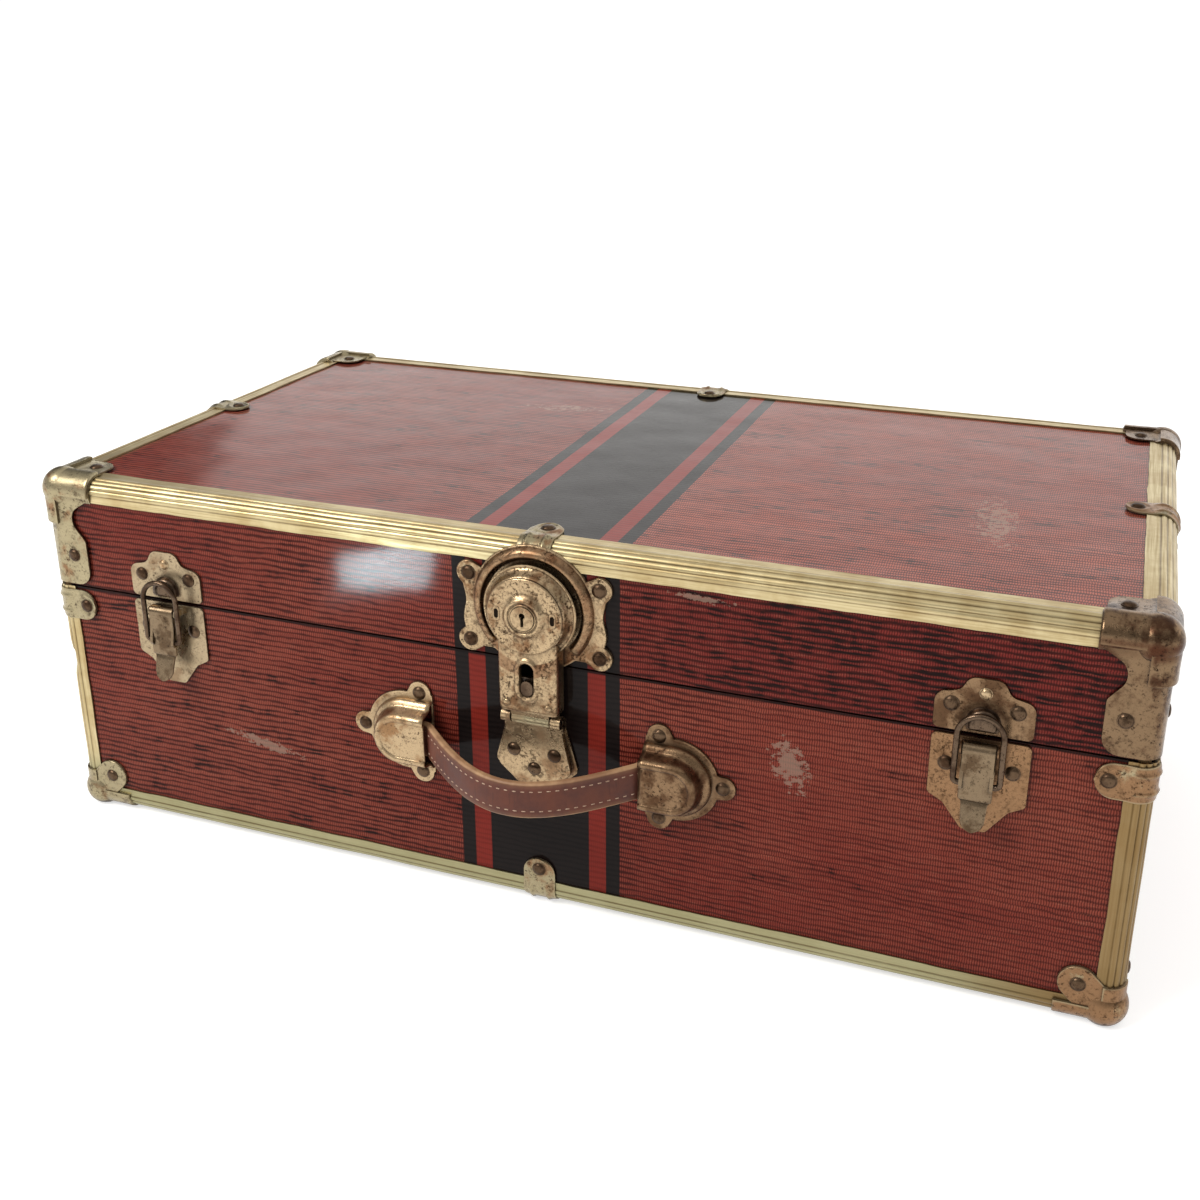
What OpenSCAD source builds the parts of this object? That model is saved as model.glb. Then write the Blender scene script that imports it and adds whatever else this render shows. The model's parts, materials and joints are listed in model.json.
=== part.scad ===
// Vintage suitcase: a covered wooden case with brass bindings, corner caps, lock, latches and handle.
// Millimetres. +X to the right, +Y to the back, +Z up. The origin is on the ground under the middle.

/* [Case] */
// Width over the side edge bindings
case_w = 660; // [560:1:760]
// Depth over the front and back edge bindings
case_d = 352; // [300:1:420]
// Height of the upper face of the top bindings
top_z = 231; // [222:1:280]
// Height of the lid, from the parting line to the upper face of the top bindings
lid_h = 71.5; // [65:0.5:81]
// Gap between lid and base at the parting line
seam = 1; // [0.6:0.1:1.6]

/* [Boards] */
// Thickness of the base walls
wall_t = 7; // [5:0.5:10]
// Thickness of the bottom and top panels
panel_t = 5; // [3:0.5:8]
// Thickness of the lip boards inside the base rim
lip_t = 3; // [2:0.5:5]
// Height of the lip above the parting line
lip_rise = 9; // [5:0.5:14]
// Depth of the lip below the parting line
lip_drop = 25; // [15:1:50]
// Clearance between the lip and the lid walls
lip_gap = 0.8; // [0.5:0.1:1.5]
// Thickness of the lining
lining_t = 1; // [0.6:0.1:1.5]
// Gap between the base lining and the lip above it
lining_gap = 0.4; // [0.2:0.1:1]

/* [Covering and bindings] */
// Thickness of the fibre covering
cover_t = 2.5; // [1.5:0.1:2.5]
// Outer radius of a bound edge
edge_r = 9; // [8:0.5:10]
// Thickness of the binding sheet
binding_t = 1; // [0.8:0.1:1.2]
// Width of a binding on the front, back and side faces
flange_wall = 14; // [12:0.5:18]
// Width of a binding on the top and bottom faces
flange_flat = 17; // [12:0.5:18]
// Height of the ribs on the binding crest
rib_h = 0.5; // [0.3:0.1:0.7]
// Number of ribs on the binding crest
rib_count = 4; // [3:1:6]

/* [Corner caps] */
// Thickness of the pressed caps and clips
cap_t = 1; // [0.8:0.1:1.3]
// Clearance between a cap and the binding ribs under it
cap_gap = 0.1; // [0.05:0.05:0.2]
// How far the corner balls swell beyond the beads
ball_swell = 0.8; // [0.5:0.1:1.2]
// Depth of the worn flat under a bottom ball
foot_flat = 0.5; // [0.3:0.1:0.7]
// Reach of the cap beads along the edges
bead_reach = 35; // [32:1:45]
// Reach of the upright bead on a lid cap
lid_bead_drop = 30; // [24:1:40]
// Width of the long leg of a lid cap
leg_w = 28; // [24:1:36]
// Width of the waist of a lid cap leg
leg_waist = 20; // [17:1:23]
// Height of the lug beside the waist of a lid cap leg
lug_h = 13; // [12:0.5:15]
// Reach of the lug plates on the caps
lug_reach = 33; // [30:1:40]
// Distance of a lug rivet from each edge
lug_rivet = 23; // [22:0.5:26]
// Distance of the leg rivet from the upright edge
leg_rivet = 18; // [15:0.5:20]
// Height of the leg rivet above the parting line
leg_rivet_rise = 21.5; // [14:0.5:28]
// Gap between a leg's foot and the lid's lower edge
leg_gap = 1.5; // [1:0.5:4]

/* [Clamps and clips] */
// Width of a binding clamp at the middle of an edge
clamp_w = 20; // [16:1:28]
// Reach of a clamp lug from the edge
clamp_reach = 29; // [27:0.5:36]
// Distance of a clamp rivet from the edge
clamp_rivet = 22; // [20.5:0.5:24]
// Height of a clip at the top of an upright binding
clip_h = 20; // [16:1:28]
// Gap between a clip and the base rim
clip_drop = 2; // [1:0.5:6]

/* [Rivets] */
// Radius of a rivet head
rivet_r = 3.6; // [3:0.1:4.2]
// Height of a rivet head
rivet_h = 1.5; // [1:0.1:2]
// Radius of a rivet shank
shank_r = 1.8; // [1.4:0.1:2.2]
// Clearance round a rivet shank
shank_fit = 0.05; // [0.02:0.01:0.1]

/* [Lock] */
// Height of the lock centre above the parting line
lock_rise = 33; // [31:0.5:36]
// Thickness of the lock plate in front of the bindings
lock_plate_t = 1; // [0.8:0.1:1.4]
// Half distance between the rivets across the lock plate
lock_rivet_x = 39; // [38:0.5:42]
// Height of the lower plate rivets above the parting line
lock_rivet_low = 8.5; // [8:0.5:10]
// Distance between the lower and upper plate rivets
lock_rivet_pitch = 40.5; // [38:0.5:43]
// Radius of the lugs of the lock plate
lock_lug_r = 7.3; // [6.5:0.1:8]
// Middle radius of the raised C rim
rim_r = 32.5; // [31:0.5:34]
// Width of the raised rim
rim_w = 7; // [5:0.5:8]
// Height of the raised rim
rim_h = 3.8; // [3:0.1:4.5]
// Half angle of the mouth of the rim
rim_mouth = 45; // [42:1:50]
// Radius of the drum flange
drum_r = 27.5; // [25:0.5:28]
// Radius of the drum neck that passes the rim mouth
drum_neck_r = 18.5; // [14:0.5:19]
// Thickness of the drum flange's rim
drum_flange_t = 1.4; // [1:0.1:2]
// Radius of the drum face
drum_face_r = 21; // [19:0.5:23]
// Height of the drum face above its flange
drum_rise = 7; // [5:0.5:9]
// Radius of the boss on the drum face
boss_r = 14; // [12:0.5:15]
// Height of the boss on the drum face
boss_h = 2; // [1:0.1:3]
// Radius of the key cylinder
key_r = 7; // [6:0.1:8]
// Radial running clearance of pins and the key cylinder
run_fit = 0.05; // [0.02:0.01:0.1]
// Width of the key slot
key_slot_w = 1.6; // [1:0.1:2]
// Clearance between lock pieces that pass each other
lock_gap = 0.4; // [0.3:0.1:0.6]

/* [Hasp] */
// Width of the hasp
hasp_w = 36; // [32:1:38]
// Height of the hasp's front face
hasp_h = 12; // [11.5:0.5:13]
// Thickness of the hasp sheet
hasp_t = 2.2; // [1.6:0.1:2.4]
// Drop of the hasp hinge below the parting line
hasp_drop = 32.5; // [30:0.5:36]
// Height of the hasp hinge pin
hasp_pin_h = 5.5; // [5.5:0.1:6]
// Radius of the hasp hinge knuckles
knuckle_r = 4; // [3.6:0.1:4.2]
// Radius of the hasp hinge pin
hasp_pin_r = 1.5; // [1.2:0.1:1.8]
// Width of the middle knuckle
knuckle_w = 24; // [20:1:26]
// Drop of the slide slot's middle below the parting line
slot_drop = 6; // [5.5:0.5:8]
// Length of the slide slot
slot_l = 20; // [18:0.5:22]
// Width of the slide slot
slot_w = 8; // [7:0.5:9]
// Width of the raised rim round the slot
slot_rim = 2; // [1.5:0.1:2.5]
// Length of the release slide's button
slide_l = 9; // [7:0.5:10]
// Reach of the lock's lower plate below the hasp hinge
lock_foot = 46; // [42:1:52]
// Half width of the lower plate's foot
lock_foot_w = 25; // [24:0.5:30]
// Height of the lower plate's dished middle
lock_dish_h = 4; // [3:0.1:4.5]

/* [Latches] */
// Distance of a latch from the end of the case
latch_in = 84.5; // [70:0.5:130]
// Width of the latch plates
latch_w = 50; // [46:1:56]
// Thickness of the latch plates
latch_plate_t = 1.4; // [1.2:0.1:1.8]
// Reach of the keeper plate above the parting line
keeper_rise = 32; // [30:0.5:36]
// Reach of the latch plate below the parting line
latch_foot = 55; // [52:0.5:60]
// Width of the lever
lever_w = 17; // [15:0.5:18]
// Thickness of the lever sheet
lever_t = 1.8; // [1.4:0.1:2]
// Length of the lever below its pivot
lever_l = 43; // [38:1:46]
// Drop of the lever pivot below the parting line
pivot_drop = 5.5; // [5:0.1:7]
// Height of the lever pivot
pivot_h = 5.2; // [5.2:0.1:5.8]
// Radius of the lever barrel
barrel_r = 4.2; // [3.8:0.1:4.3]
// Radius of the lever pivot pin
pivot_r = 1.25; // [1:0.05:1.5]
// Radius of the loop wire
wire_r = 1.5; // [1.2:0.1:1.6]
// Half distance between the sides of the loop
loop_x = 11.7; // [11.6:0.1:13]
// Drop of the loop pivot below the lever pivot
loop_drop = 18; // [17:0.5:20]
// Height of the loop above the lever's own pivot
loop_lift = 3; // [2.8:0.1:3.4]
// Length of the loop from its pivot to its bar
loop_l = 38.5; // [37.5:0.5:41]
// Corner radius of the loop's bar
loop_r = 5; // [3.5:0.5:7]
// Thickness of the ears that hold the lever
ear_t = 1; // [0.8:0.1:1.1]
// Side clearance of the lever between its ears
lever_gap = 0.3; // [0.3:0.05:0.4]
// Height of the keeper hook
hook_h = 6; // [5:0.1:6.2]

/* [Handle] */
// Drop of the handle axis below the parting line
handle_drop = 58.5; // [49.5:0.5:74.5]
// Distance from the middle to the mouth of a handle cap
mouth_x = 66; // [60:1:75]
// Length of the domed part of a cap
dome_l = 38; // [34:1:44]
// Half height of the domed part
dome_r = 20.5; // [18.5:0.5:22]
// Height of the dome
dome_h = 13; // [12.5:0.5:15]
// Thickness of the cap sheet
dome_t = 1.2; // [0.8:0.1:1.4]
// Half height of the flat crown of the dome
crown_r = 14; // [13:0.5:15]
// Height of the handle pivot
handle_pin_h = 6.2; // [6:0.1:6.5]
// Radius of the handle pins
handle_pin_r = 1.2; // [0.8:0.1:1.4]
// Width of the strap
strap_w = 22; // [18:0.5:23]
// Thickness of the strap
strap_t = 4.4; // [3.6:0.1:4.6]
// How far the strap bows out from its pivot
bow = 37; // [25:1:45]
// How far the strap droops in the middle
droop = 4; // [0:0.5:8]
// Length of the strap inside a cap
strap_tail = 16; // [12:1:20]

/* [Hinges] */
// Distance of a hinge from the end of the case
hinge_in = 130; // [80:1:210]
// Length of a hinge
hinge_l = 50; // [40:1:70]
// Reach of a hinge leaf from the pin
leaf_reach = 38; // [30:1:45]
// Thickness of a hinge leaf
leaf_t = 1.3; // [1:0.1:1.6]
// Distance of the hinge pin behind the back bindings
hinge_out = 2.4; // [2.4:0.1:3.4]
// Radius of the hinge knuckles
hinge_r = 3.1; // [2.6:0.1:3.1]
// Radius of the hinge pins
hinge_pin_r = 1.4; // [1:0.1:1.6]
// Gap between neighbouring knuckles
knuckle_gap = 0.4; // [0.3:0.1:0.6]

/* [Hidden] */
$fn = 48;

// Steps of an arc in a cross-section, and of a rounded corner in an outline
arc_steps = 8;
corner_steps = 5;
crest_steps = rib_count * 6;
// A cut runs this far past the surface that it opens
past = 1;
// A piece joined to another starts this far inside it
bite = 0.3;

brass = "#b9a46a";
old_brass = "#a98652";
steel = "#8a857a";
maroon = "#6e2424";
board = "#c9a878";
lining_colour = "#d8cdb4";
leather = "#5a2f22";
rivet_colour = "#6a5a42";

// Edge radii of the beads, balls and legs round the bindings
rib_r = edge_r + rib_h + cap_gap;
bead_r = rib_r + cap_t;
ball_r = bead_r + ball_swell;
leg_r = edge_r + cap_t + cap_gap;
// The ground plane cuts the bottom balls, which lifts the bindings to floor_z
floor_z = ball_r - edge_r - foot_flat;
parting_z = top_z - lid_h;
base_top = parting_z - seam / 2;
lid_low = parting_z + seam / 2;

// Reach in front of and behind the bindings, which sets the case back from the origin
front_reach = handle_pin_h + bow + strap_t / 2;
back_reach = hinge_out + hinge_r;
case_y = (front_reach - back_reach) / 2;

// The boards' square corners clear the inside of the rounded bindings
board_in = max(binding_t + cover_t, edge_r - (edge_r - binding_t - cap_gap) / sqrt(2));
cover_in = edge_r + past / 2;
lid_wall_t = wall_t - lip_gap;
binding_end = max(flange_wall, flange_flat) + past / 2;
lid_leg = top_z - lid_low - leg_gap;

box_w = case_w - 2 * board_in;
box_d = case_d - 2 * board_in;
panel_z = floor_z + board_in;
ceiling_z = top_z - board_in;

// Heights on the front face
face_h = -binding_t;
lock_z = parting_z + lock_rise;
hasp_z = parting_z - hasp_drop;
slot_z = parting_z - slot_drop;
drum_h0 = lock_plate_t + lock_gap;
drum_h1 = lock_plate_t + rim_h + lock_gap;
drum_h2 = drum_h1 + drum_flange_t;
drum_h3 = drum_h2 + drum_rise;
boss_top = drum_h3 + boss_h;
pivot_z = parting_z - pivot_drop;
loop_z = pivot_z - loop_drop;
loop_h = pivot_h + loop_lift;
bar_z = loop_z + loop_l;
tail_x = mouth_x + strap_tail;
dome_mid = mouth_x + dome_l - dome_r;
handle_z = parting_z - handle_drop;

// Places along the case, measured from its ends
latch_x = case_w / 2 - latch_in;
hinge_x = case_w / 2 - hinge_in;

lock_rivets = [for (x = [-1, 1], z = [0, 1])
    [x * lock_rivet_x, parting_z + lock_rivet_low + z * lock_rivet_pitch]];

// Points of an arc about c
function arc(c, r, from, to, n) =
    [for (i = [0:n]) let (a = from + (to - from) * i / n) c + r * [cos(a), sin(a)]];

function xy(p) = [p.x, p.y];
function unit(v) = v / norm(v);

// One corner c of an outline between p and q, rounded to radius r
function round_corner(p, c, q, r) =
    r == 0 ? [c] :
    let (u = unit(p - c), v = unit(q - c), half = acos(u * v) / 2,
         m = c + unit(u + v) * r / sin(half),
         a = c + u * r / tan(half) - m,
         b = c + v * r / tan(half) - m,
         start = atan2(a.y, a.x),
         swing = atan2(b.y, b.x) - start,
         turn = swing > 180 ? swing - 360 : swing < -180 ? swing + 360 : swing)
    arc(m, r, start, start + turn, corner_steps);

// An outline whose points are [x, y, corner radius]
function rounded(path) = let (n = len(path))
    [for (i = [0:n - 1]) each round_corner(xy(path[(i + n - 1) % n]), xy(path[i]),
                                           xy(path[(i + 1) % n]), path[i].z)];

// Adds the mirror image of the right half of an outline
function both_halves(half) =
    concat(half, [for (i = [len(half) - 1:-1:0]) [-half[i].x, half[i].y, half[i].z]]);

// Cross-section of a ribbed binding: a along one face, b along the other, the edge at the origin
function binding_section(a, b) = concat(
    [[a, 0]],
    [for (i = [0:crest_steps])
        let (t = i / crest_steps, r = edge_r + rib_h * (1 - cos(360 * rib_count * t)) / 2)
        [edge_r, edge_r] + r * [cos(270 - 90 * t), sin(270 - 90 * t)]],
    [[0, b], [binding_t, b]],
    arc([edge_r, edge_r], edge_r - binding_t, 180, 270, arc_steps),
    [[a, binding_t]]);

// Cross-section of a clip that straddles a ribbed binding
function saddle_section(leg) =
    let (c = [edge_r, edge_r], outer = acos((edge_r + cap_t) / bead_r), inner = acos(edge_r / rib_r))
    concat([[leg, -cap_t]], arc(c, bead_r, 270 + outer, 180 - outer, arc_steps),
           [[-cap_t, leg], [0, leg]], arc(c, rib_r, 180 - inner, 270 + inner, arc_steps), [[leg, 0]]);

module flip(axis, on) {
    if (on) mirror(axis) children();
    else children();
}

module place() translate([0, case_y, 0]) children();

// A face seen from outside: x across, y up, z out of the binding plane
module on_front() translate([0, case_y - case_d / 2, 0]) rotate([90, 0, 0]) children();
module on_back() translate([0, case_y + case_d / 2, 0]) rotate([90, 0, 180]) children();

// A corner of the case: its three faces meet at the origin, and the case lies on the positive side
module at_corner(side, face, lid)
    translate([side * case_w / 2, case_y + face * case_d / 2, lid ? top_z : floor_z])
        flip([1, 0, 0], side > 0) flip([0, 1, 0], face > 0) flip([0, 0, 1], lid) children();

// An edge of the case, with the section's a and b on its two faces and its length along z
module at_long_edge(face, lid)
    translate([0, case_y + face * case_d / 2, lid ? top_z : floor_z])
        flip([0, 1, 0], face > 0) flip([0, 0, 1], lid) rotate([90, 0, 90]) children();
module at_short_edge(side, lid)
    translate([side * case_w / 2, case_y, lid ? top_z : floor_z])
        flip([1, 0, 0], side > 0) flip([0, 0, 1], lid) rotate([90, 0, 0]) children();

module rivet_hole()
    translate([0, 0, -binding_t - past])
        cylinder(r = shank_r + shank_fit, h = binding_t + cap_t + lock_dish_h + 3 * past);

// A rivet whose head rests at height seat and whose shank reaches the covering
module rivet(seat) {
    dome_a = 2 * atan(rivet_h / rivet_r);
    dome_c = rivet_r / sin(dome_a);
    translate([0, 0, seat]) rotate_extrude()
        polygon(concat([[0, 0]], arc([0, rivet_h - dome_c], dome_c, 90 - dome_a, 90, corner_steps)));
    translate([0, 0, face_h]) cylinder(r = shank_r, h = seat - face_h + bite);
}

// Boards

module base_bottom_panel()
    color(board) place() translate([-box_w / 2, -box_d / 2, panel_z]) cube([box_w, box_d, panel_t]);

module lid_top_panel()
    color(board) place()
        translate([-box_w / 2, -box_d / 2, ceiling_z - panel_t]) cube([box_w, box_d, panel_t]);

// A wall across the case, at the front or the back
module long_wall(face, z0, z1, t)
    color(board) place()
        translate([-box_w / 2, face > 0 ? box_d / 2 - t : -box_d / 2, z0]) cube([box_w, t, z1 - z0]);

// A wall between the front and the back
module short_wall(side, z0, z1, t)
    color(board) place()
        translate([side > 0 ? box_w / 2 - t : -box_w / 2, -box_d / 2 + t, z0])
            cube([t, box_d - 2 * t, z1 - z0]);

module base_front_wall() long_wall(-1, panel_z + panel_t, base_top, wall_t);
module base_back_wall() long_wall(1, panel_z + panel_t, base_top, wall_t);
module base_left_wall() short_wall(-1, panel_z + panel_t, base_top, wall_t);
module base_right_wall() short_wall(1, panel_z + panel_t, base_top, wall_t);
module lid_front_wall() long_wall(-1, lid_low, ceiling_z - panel_t, lid_wall_t);
module lid_back_wall() long_wall(1, lid_low, ceiling_z - panel_t, lid_wall_t);
module lid_left_wall() short_wall(-1, lid_low, ceiling_z - panel_t, lid_wall_t);
module lid_right_wall() short_wall(1, lid_low, ceiling_z - panel_t, lid_wall_t);

// A frame of boards inside walls of thickness t
module ring(wall, t, z0, z1) {
    w = box_w - 2 * wall;
    d = box_d - 2 * wall;
    translate([0, 0, z0]) linear_extrude(z1 - z0) difference() {
        square([w, d], center = true);
        square([w - 2 * t, d - 2 * t], center = true);
    }
}

module base_lip()
    color(board) place() ring(wall_t, lip_t, parting_z - lip_drop, parting_z + lip_rise);

module base_lining() {
    floor_top = panel_z + panel_t;
    color(lining_colour) place() {
        ring(wall_t, lining_t, floor_top, parting_z - lip_drop - lining_gap);
        translate([0, 0, floor_top]) linear_extrude(lining_t)
            square([box_w - 2 * wall_t - lining_t, box_d - 2 * wall_t - lining_t], center = true);
    }
}

module lid_lining() {
    ceiling_low = ceiling_z - panel_t;
    color(lining_colour) place() {
        ring(lid_wall_t, lining_t, parting_z + lip_rise + 2 * past, ceiling_low);
        translate([0, 0, ceiling_low - lining_t]) linear_extrude(lining_t)
            square([box_w - 2 * lid_wall_t - lining_t, box_d - 2 * lid_wall_t - lining_t], center = true);
    }
}

// Covering: flat sheets that end under the bindings

module wall_sheets(z0, z1) {
    for (face = [-1, 1]) translate([0, face * (case_d / 2 - binding_t - cover_t / 2), (z0 + z1) / 2])
        cube([case_w - 2 * cover_in, cover_t, z1 - z0], center = true);
    for (side = [-1, 1]) translate([side * (case_w / 2 - binding_t - cover_t / 2), 0, (z0 + z1) / 2])
        cube([cover_t, case_d - 2 * cover_in, z1 - z0], center = true);
}

module flat_sheet(z)
    translate([0, 0, z]) cube([case_w - 2 * cover_in, case_d - 2 * cover_in, cover_t], center = true);

module base_covering() color(maroon) place() {
    wall_sheets(floor_z + cover_in, base_top);
    flat_sheet(floor_z + binding_t + cover_t / 2);
}

module lid_covering() color(maroon) place() {
    wall_sheets(lid_low, top_z - cover_in);
    flat_sheet(top_z - binding_t - cover_t / 2);
}

// Bindings

module long_binding(face, lid)
    color(brass) at_long_edge(face, lid)
        linear_extrude(case_w - 2 * binding_end, center = true)
            polygon(binding_section(flange_flat, flange_wall));

module short_binding(side, lid)
    color(brass) at_short_edge(side, lid)
        linear_extrude(case_d - 2 * binding_end, center = true)
            polygon(binding_section(flange_flat, flange_wall));

module lid_binding_front() long_binding(-1, true);
module lid_binding_back() long_binding(1, true);
module lid_binding_left() short_binding(-1, true);
module lid_binding_right() short_binding(1, true);
module base_binding_front() long_binding(-1, false);
module base_binding_back() long_binding(1, false);
module base_binding_left() short_binding(-1, false);
module base_binding_right() short_binding(1, false);

module base_upright_bindings()
    color(brass) for (side = [-1, 1], face = [-1, 1]) at_corner(side, face, false)
        translate([0, 0, binding_end]) linear_extrude(base_top - floor_z - binding_end)
            polygon(binding_section(flange_wall, flange_wall));

// Corner caps

// The rounded edges and the ball of a corner, each edge reaching from the ball to its own length
module edge_rounds(r, ball, reach_u, reach_v, reach_w) {
    start = 2 * past;
    translate([edge_r, edge_r, edge_r]) {
        sphere(r = ball);
        rotate([0, 90, 0]) translate([0, 0, start]) cylinder(r = r, h = reach_u - edge_r - start);
        rotate([-90, 0, 0]) translate([0, 0, start]) cylinder(r = r, h = reach_v - edge_r - start);
        translate([0, 0, start]) cylinder(r = r, h = reach_w - edge_r - start);
    }
}

// What a cap closes round: the case's faces, the ribbed edges and room for the ball
module corner_core(reach) {
    translate([0, edge_r, edge_r]) cube(reach);
    translate([edge_r, 0, edge_r]) cube(reach);
    translate([edge_r, edge_r, 0]) cube(reach);
    edge_rounds(rib_r, ball_r - cap_t, reach, reach, reach);
}

// A plate on each face of a corner: the outlines start under the beads
module wall_plates(outline) {
    rotate([90, 0, 0]) linear_extrude(cap_t) polygon(outline);
    translate([-cap_t, 0, 0]) rotate([90, 0, 90]) linear_extrude(cap_t) polygon(outline);
}

module flat_plate(outline)
    translate([0, 0, -cap_t]) linear_extrude(cap_t) polygon(outline);

// Puts its children on the two faces beside an edge, with z out of the face
module on_first(along, up) translate([along, 0, up]) rotate([90, 0, 0]) children();
module on_second(along, up) translate([0, along, up]) rotate([0, -90, 0]) children();
module on_walls(along, up) {
    on_first(along, up) children();
    on_second(along, up) children();
}

module on_flat(along)
    translate([along, along, 0]) rotate([180, 0, 0]) children();

plate_start = edge_r - past;
lug_corner = lug_reach - lug_rivet;
lug_outline = rounded([[plate_start, plate_start, 0], [lug_reach, plate_start, 0],
                       [lug_reach, lug_reach, lug_corner], [plate_start, lug_reach, 0]]);
leg_flare = lid_bead_drop + leg_w - leg_waist + 2 * cap_t;
leg_outline = rounded([[plate_start, plate_start, 0], [lug_reach, plate_start, 0],
                       [lug_reach, lug_h, 2 * cap_t],
                       [leg_waist, lid_bead_drop - edge_r, edge_r],
                       [leg_waist, lid_bead_drop, edge_r],
                       [leg_w, leg_flare, edge_r / 2], [leg_w, lid_leg, edge_r],
                       [plate_start, lid_leg, 0]]);
leg_rivet_w = lid_h - leg_rivet_rise;

module lid_corner(side, face) color(old_brass) at_corner(side, face, true) difference() {
    union() {
        edge_rounds(bead_r, ball_r, bead_reach, bead_reach, lid_bead_drop);
        translate([edge_r, edge_r, edge_r]) cylinder(r = leg_r, h = lid_leg - edge_r);
        wall_plates(leg_outline);
        flat_plate(lug_outline);
    }
    corner_core(lid_leg + past);
    on_walls(leg_rivet, leg_rivet_w) rivet_hole();
    on_flat(lug_rivet) rivet_hole();
}

module base_corner(side, face) color(old_brass) at_corner(side, face, false) difference() {
    union() {
        edge_rounds(bead_r, ball_r, bead_reach, bead_reach, bead_reach);
        wall_plates(lug_outline);
        flat_plate(lug_outline);
    }
    corner_core(bead_reach + past);
    on_walls(lug_rivet, lug_rivet) rivet_hole();
    translate([-edge_r, -edge_r, -floor_z - edge_r]) cube([3 * edge_r, 3 * edge_r, edge_r]);
}

module lid_corner_front_left() lid_corner(-1, -1);
module lid_corner_front_right() lid_corner(1, -1);
module lid_corner_back_left() lid_corner(-1, 1);
module lid_corner_back_right() lid_corner(1, 1);
module base_corner_front_left() base_corner(-1, -1);
module base_corner_front_right() base_corner(1, -1);
module base_corner_back_left() base_corner(-1, 1);
module base_corner_back_right() base_corner(1, 1);

// A clip across an edge, with a lug on each face and its length along z
module edge_clip(length, first_hole, second_hole) {
    lug = (length - 2 * past) / 2;
    // The lugs start beside the ribs
    lug_start = edge_r + rib_h;
    outline = rounded([[lug_start, -lug, 0], [clamp_reach, -lug, lug - past],
                       [clamp_reach, lug, lug - past], [lug_start, lug, 0]]);
    difference() {
        union() {
            linear_extrude(length, center = true) polygon(saddle_section(flange_flat));
            wall_plates(outline);
        }
        if (first_hole) on_first(clamp_rivet, 0) rivet_hole();
        if (second_hole) on_second(clamp_rivet, 0) rivet_hole();
    }
}

clip_z = base_top - clip_drop - clip_h / 2 - floor_z;

module base_corner_clips() color(old_brass)
    for (side = [-1, 1], face = [-1, 1]) at_corner(side, face, false)
        translate([0, 0, clip_z]) edge_clip(clip_h, true, true);

// The clamps' lugs under the base carry no rivets, and the front lid clamp ends at the lock
module base_binding_clamps() color(old_brass) {
    for (face = [-1, 1]) at_long_edge(face, false) edge_clip(clamp_w, false, true);
    for (side = [-1, 1]) at_short_edge(side, false) edge_clip(clamp_w, false, true);
}

module lid_binding_clamps() color(old_brass) {
    at_long_edge(1, true) edge_clip(clamp_w, true, true);
    for (side = [-1, 1]) at_short_edge(side, true) edge_clip(clamp_w, true, true);
    difference() {
        at_long_edge(-1, true) edge_clip(clamp_w, true, false);
        on_front() translate([0, lock_z, face_h - edge_r])
            cylinder(r = rim_r + rim_w / 2 + past, h = 3 * edge_r);
    }
}

// Lock

plate_top = face_h + latch_plate_t;
lock_low = parting_z + lock_rivet_low - lock_lug_r;
lock_high = parting_z + lock_rivet_low + lock_rivet_pitch + lock_lug_r;
lock_side = lock_rivet_x + lock_lug_r;
lock_waist = rim_r + rim_w / 2 + past;
lock_disc_r = rim_r + rim_w / 2 + past / 2;
lug_fillet = lock_lug_r - past / 4;
notch_fillet = lock_lug_r / 2;
lock_outline = rounded(both_halves([
    [lock_side, lock_low, lug_fillet],
    [lock_side, lock_low + 2 * lock_lug_r, notch_fillet],
    [lock_waist, lock_low + 3 * lock_lug_r, notch_fillet],
    [lock_waist, lock_high - 3 * lock_lug_r, notch_fillet],
    [lock_side, lock_high - 2 * lock_lug_r, notch_fillet],
    [lock_side, lock_high, lug_fillet]]));

module lock_lid_plate() color(old_brass) on_front() difference() {
    union() {
        translate([0, 0, face_h]) linear_extrude(lock_plate_t - face_h) {
            polygon(lock_outline);
            translate([0, lock_z]) circle(r = lock_disc_r);
        }
        translate([0, lock_z, lock_plate_t]) rotate([0, 0, rim_mouth - 90])
            rotate_extrude(angle = 360 - 2 * rim_mouth) translate([rim_r, 0])
                polygon(concat([[-rim_w / 2, -bite], [rim_w / 2, -bite]],
                    [for (i = [0:arc_steps]) let (a = 180 * i / arc_steps)
                        [rim_w / 2 * cos(a), rim_h * sin(a)]]));
    }
    // The plate lies on the binding along the top
    translate([-lock_side - past, top_z - flange_wall - past / 2, face_h - past])
        cube([2 * (lock_side + past), case_d, -face_h + past]);
    // and clears its ribs
    translate([0, top_z - edge_r, -edge_r]) rotate([0, 90, 0])
        cylinder(r = rib_r, h = 2 * lock_side, center = true);
    for (p = lock_rivets) translate(p) rivet_hole();
}

module lock_drum() color(old_brass) on_front() translate([0, lock_z, 0]) difference() {
    rotate_extrude() polygon([
        [0, drum_h0], [drum_neck_r, drum_h0], [drum_neck_r, drum_h1], [drum_r, drum_h1],
        [drum_r, drum_h2], [drum_face_r, drum_h3], [boss_r, drum_h3], [boss_r - boss_h, boss_top],
        [0, boss_top]]);
    translate([0, 0, drum_h1]) cylinder(r = key_r + run_fit, h = boss_top);
    for (side = [-1, 1]) translate([side * (drum_face_r + boss_r) / 2, 0, drum_h3])
        cube([key_slot_w, key_r, boss_h], center = true);
}

module key_cylinder() color(brass) on_front() translate([0, lock_z, drum_h1]) difference() {
    cylinder(r = key_r, h = boss_top - drum_h1 + past);
    translate([0, 0, boss_top - drum_h1 - drum_rise]) {
        translate([-key_slot_w / 2, -key_r * 2 / 3, 0]) cube([key_slot_w, key_r, boss_top]);
        translate([0, key_r / 4, 0]) cylinder(r = key_slot_w, h = boss_top);
    }
}

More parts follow.
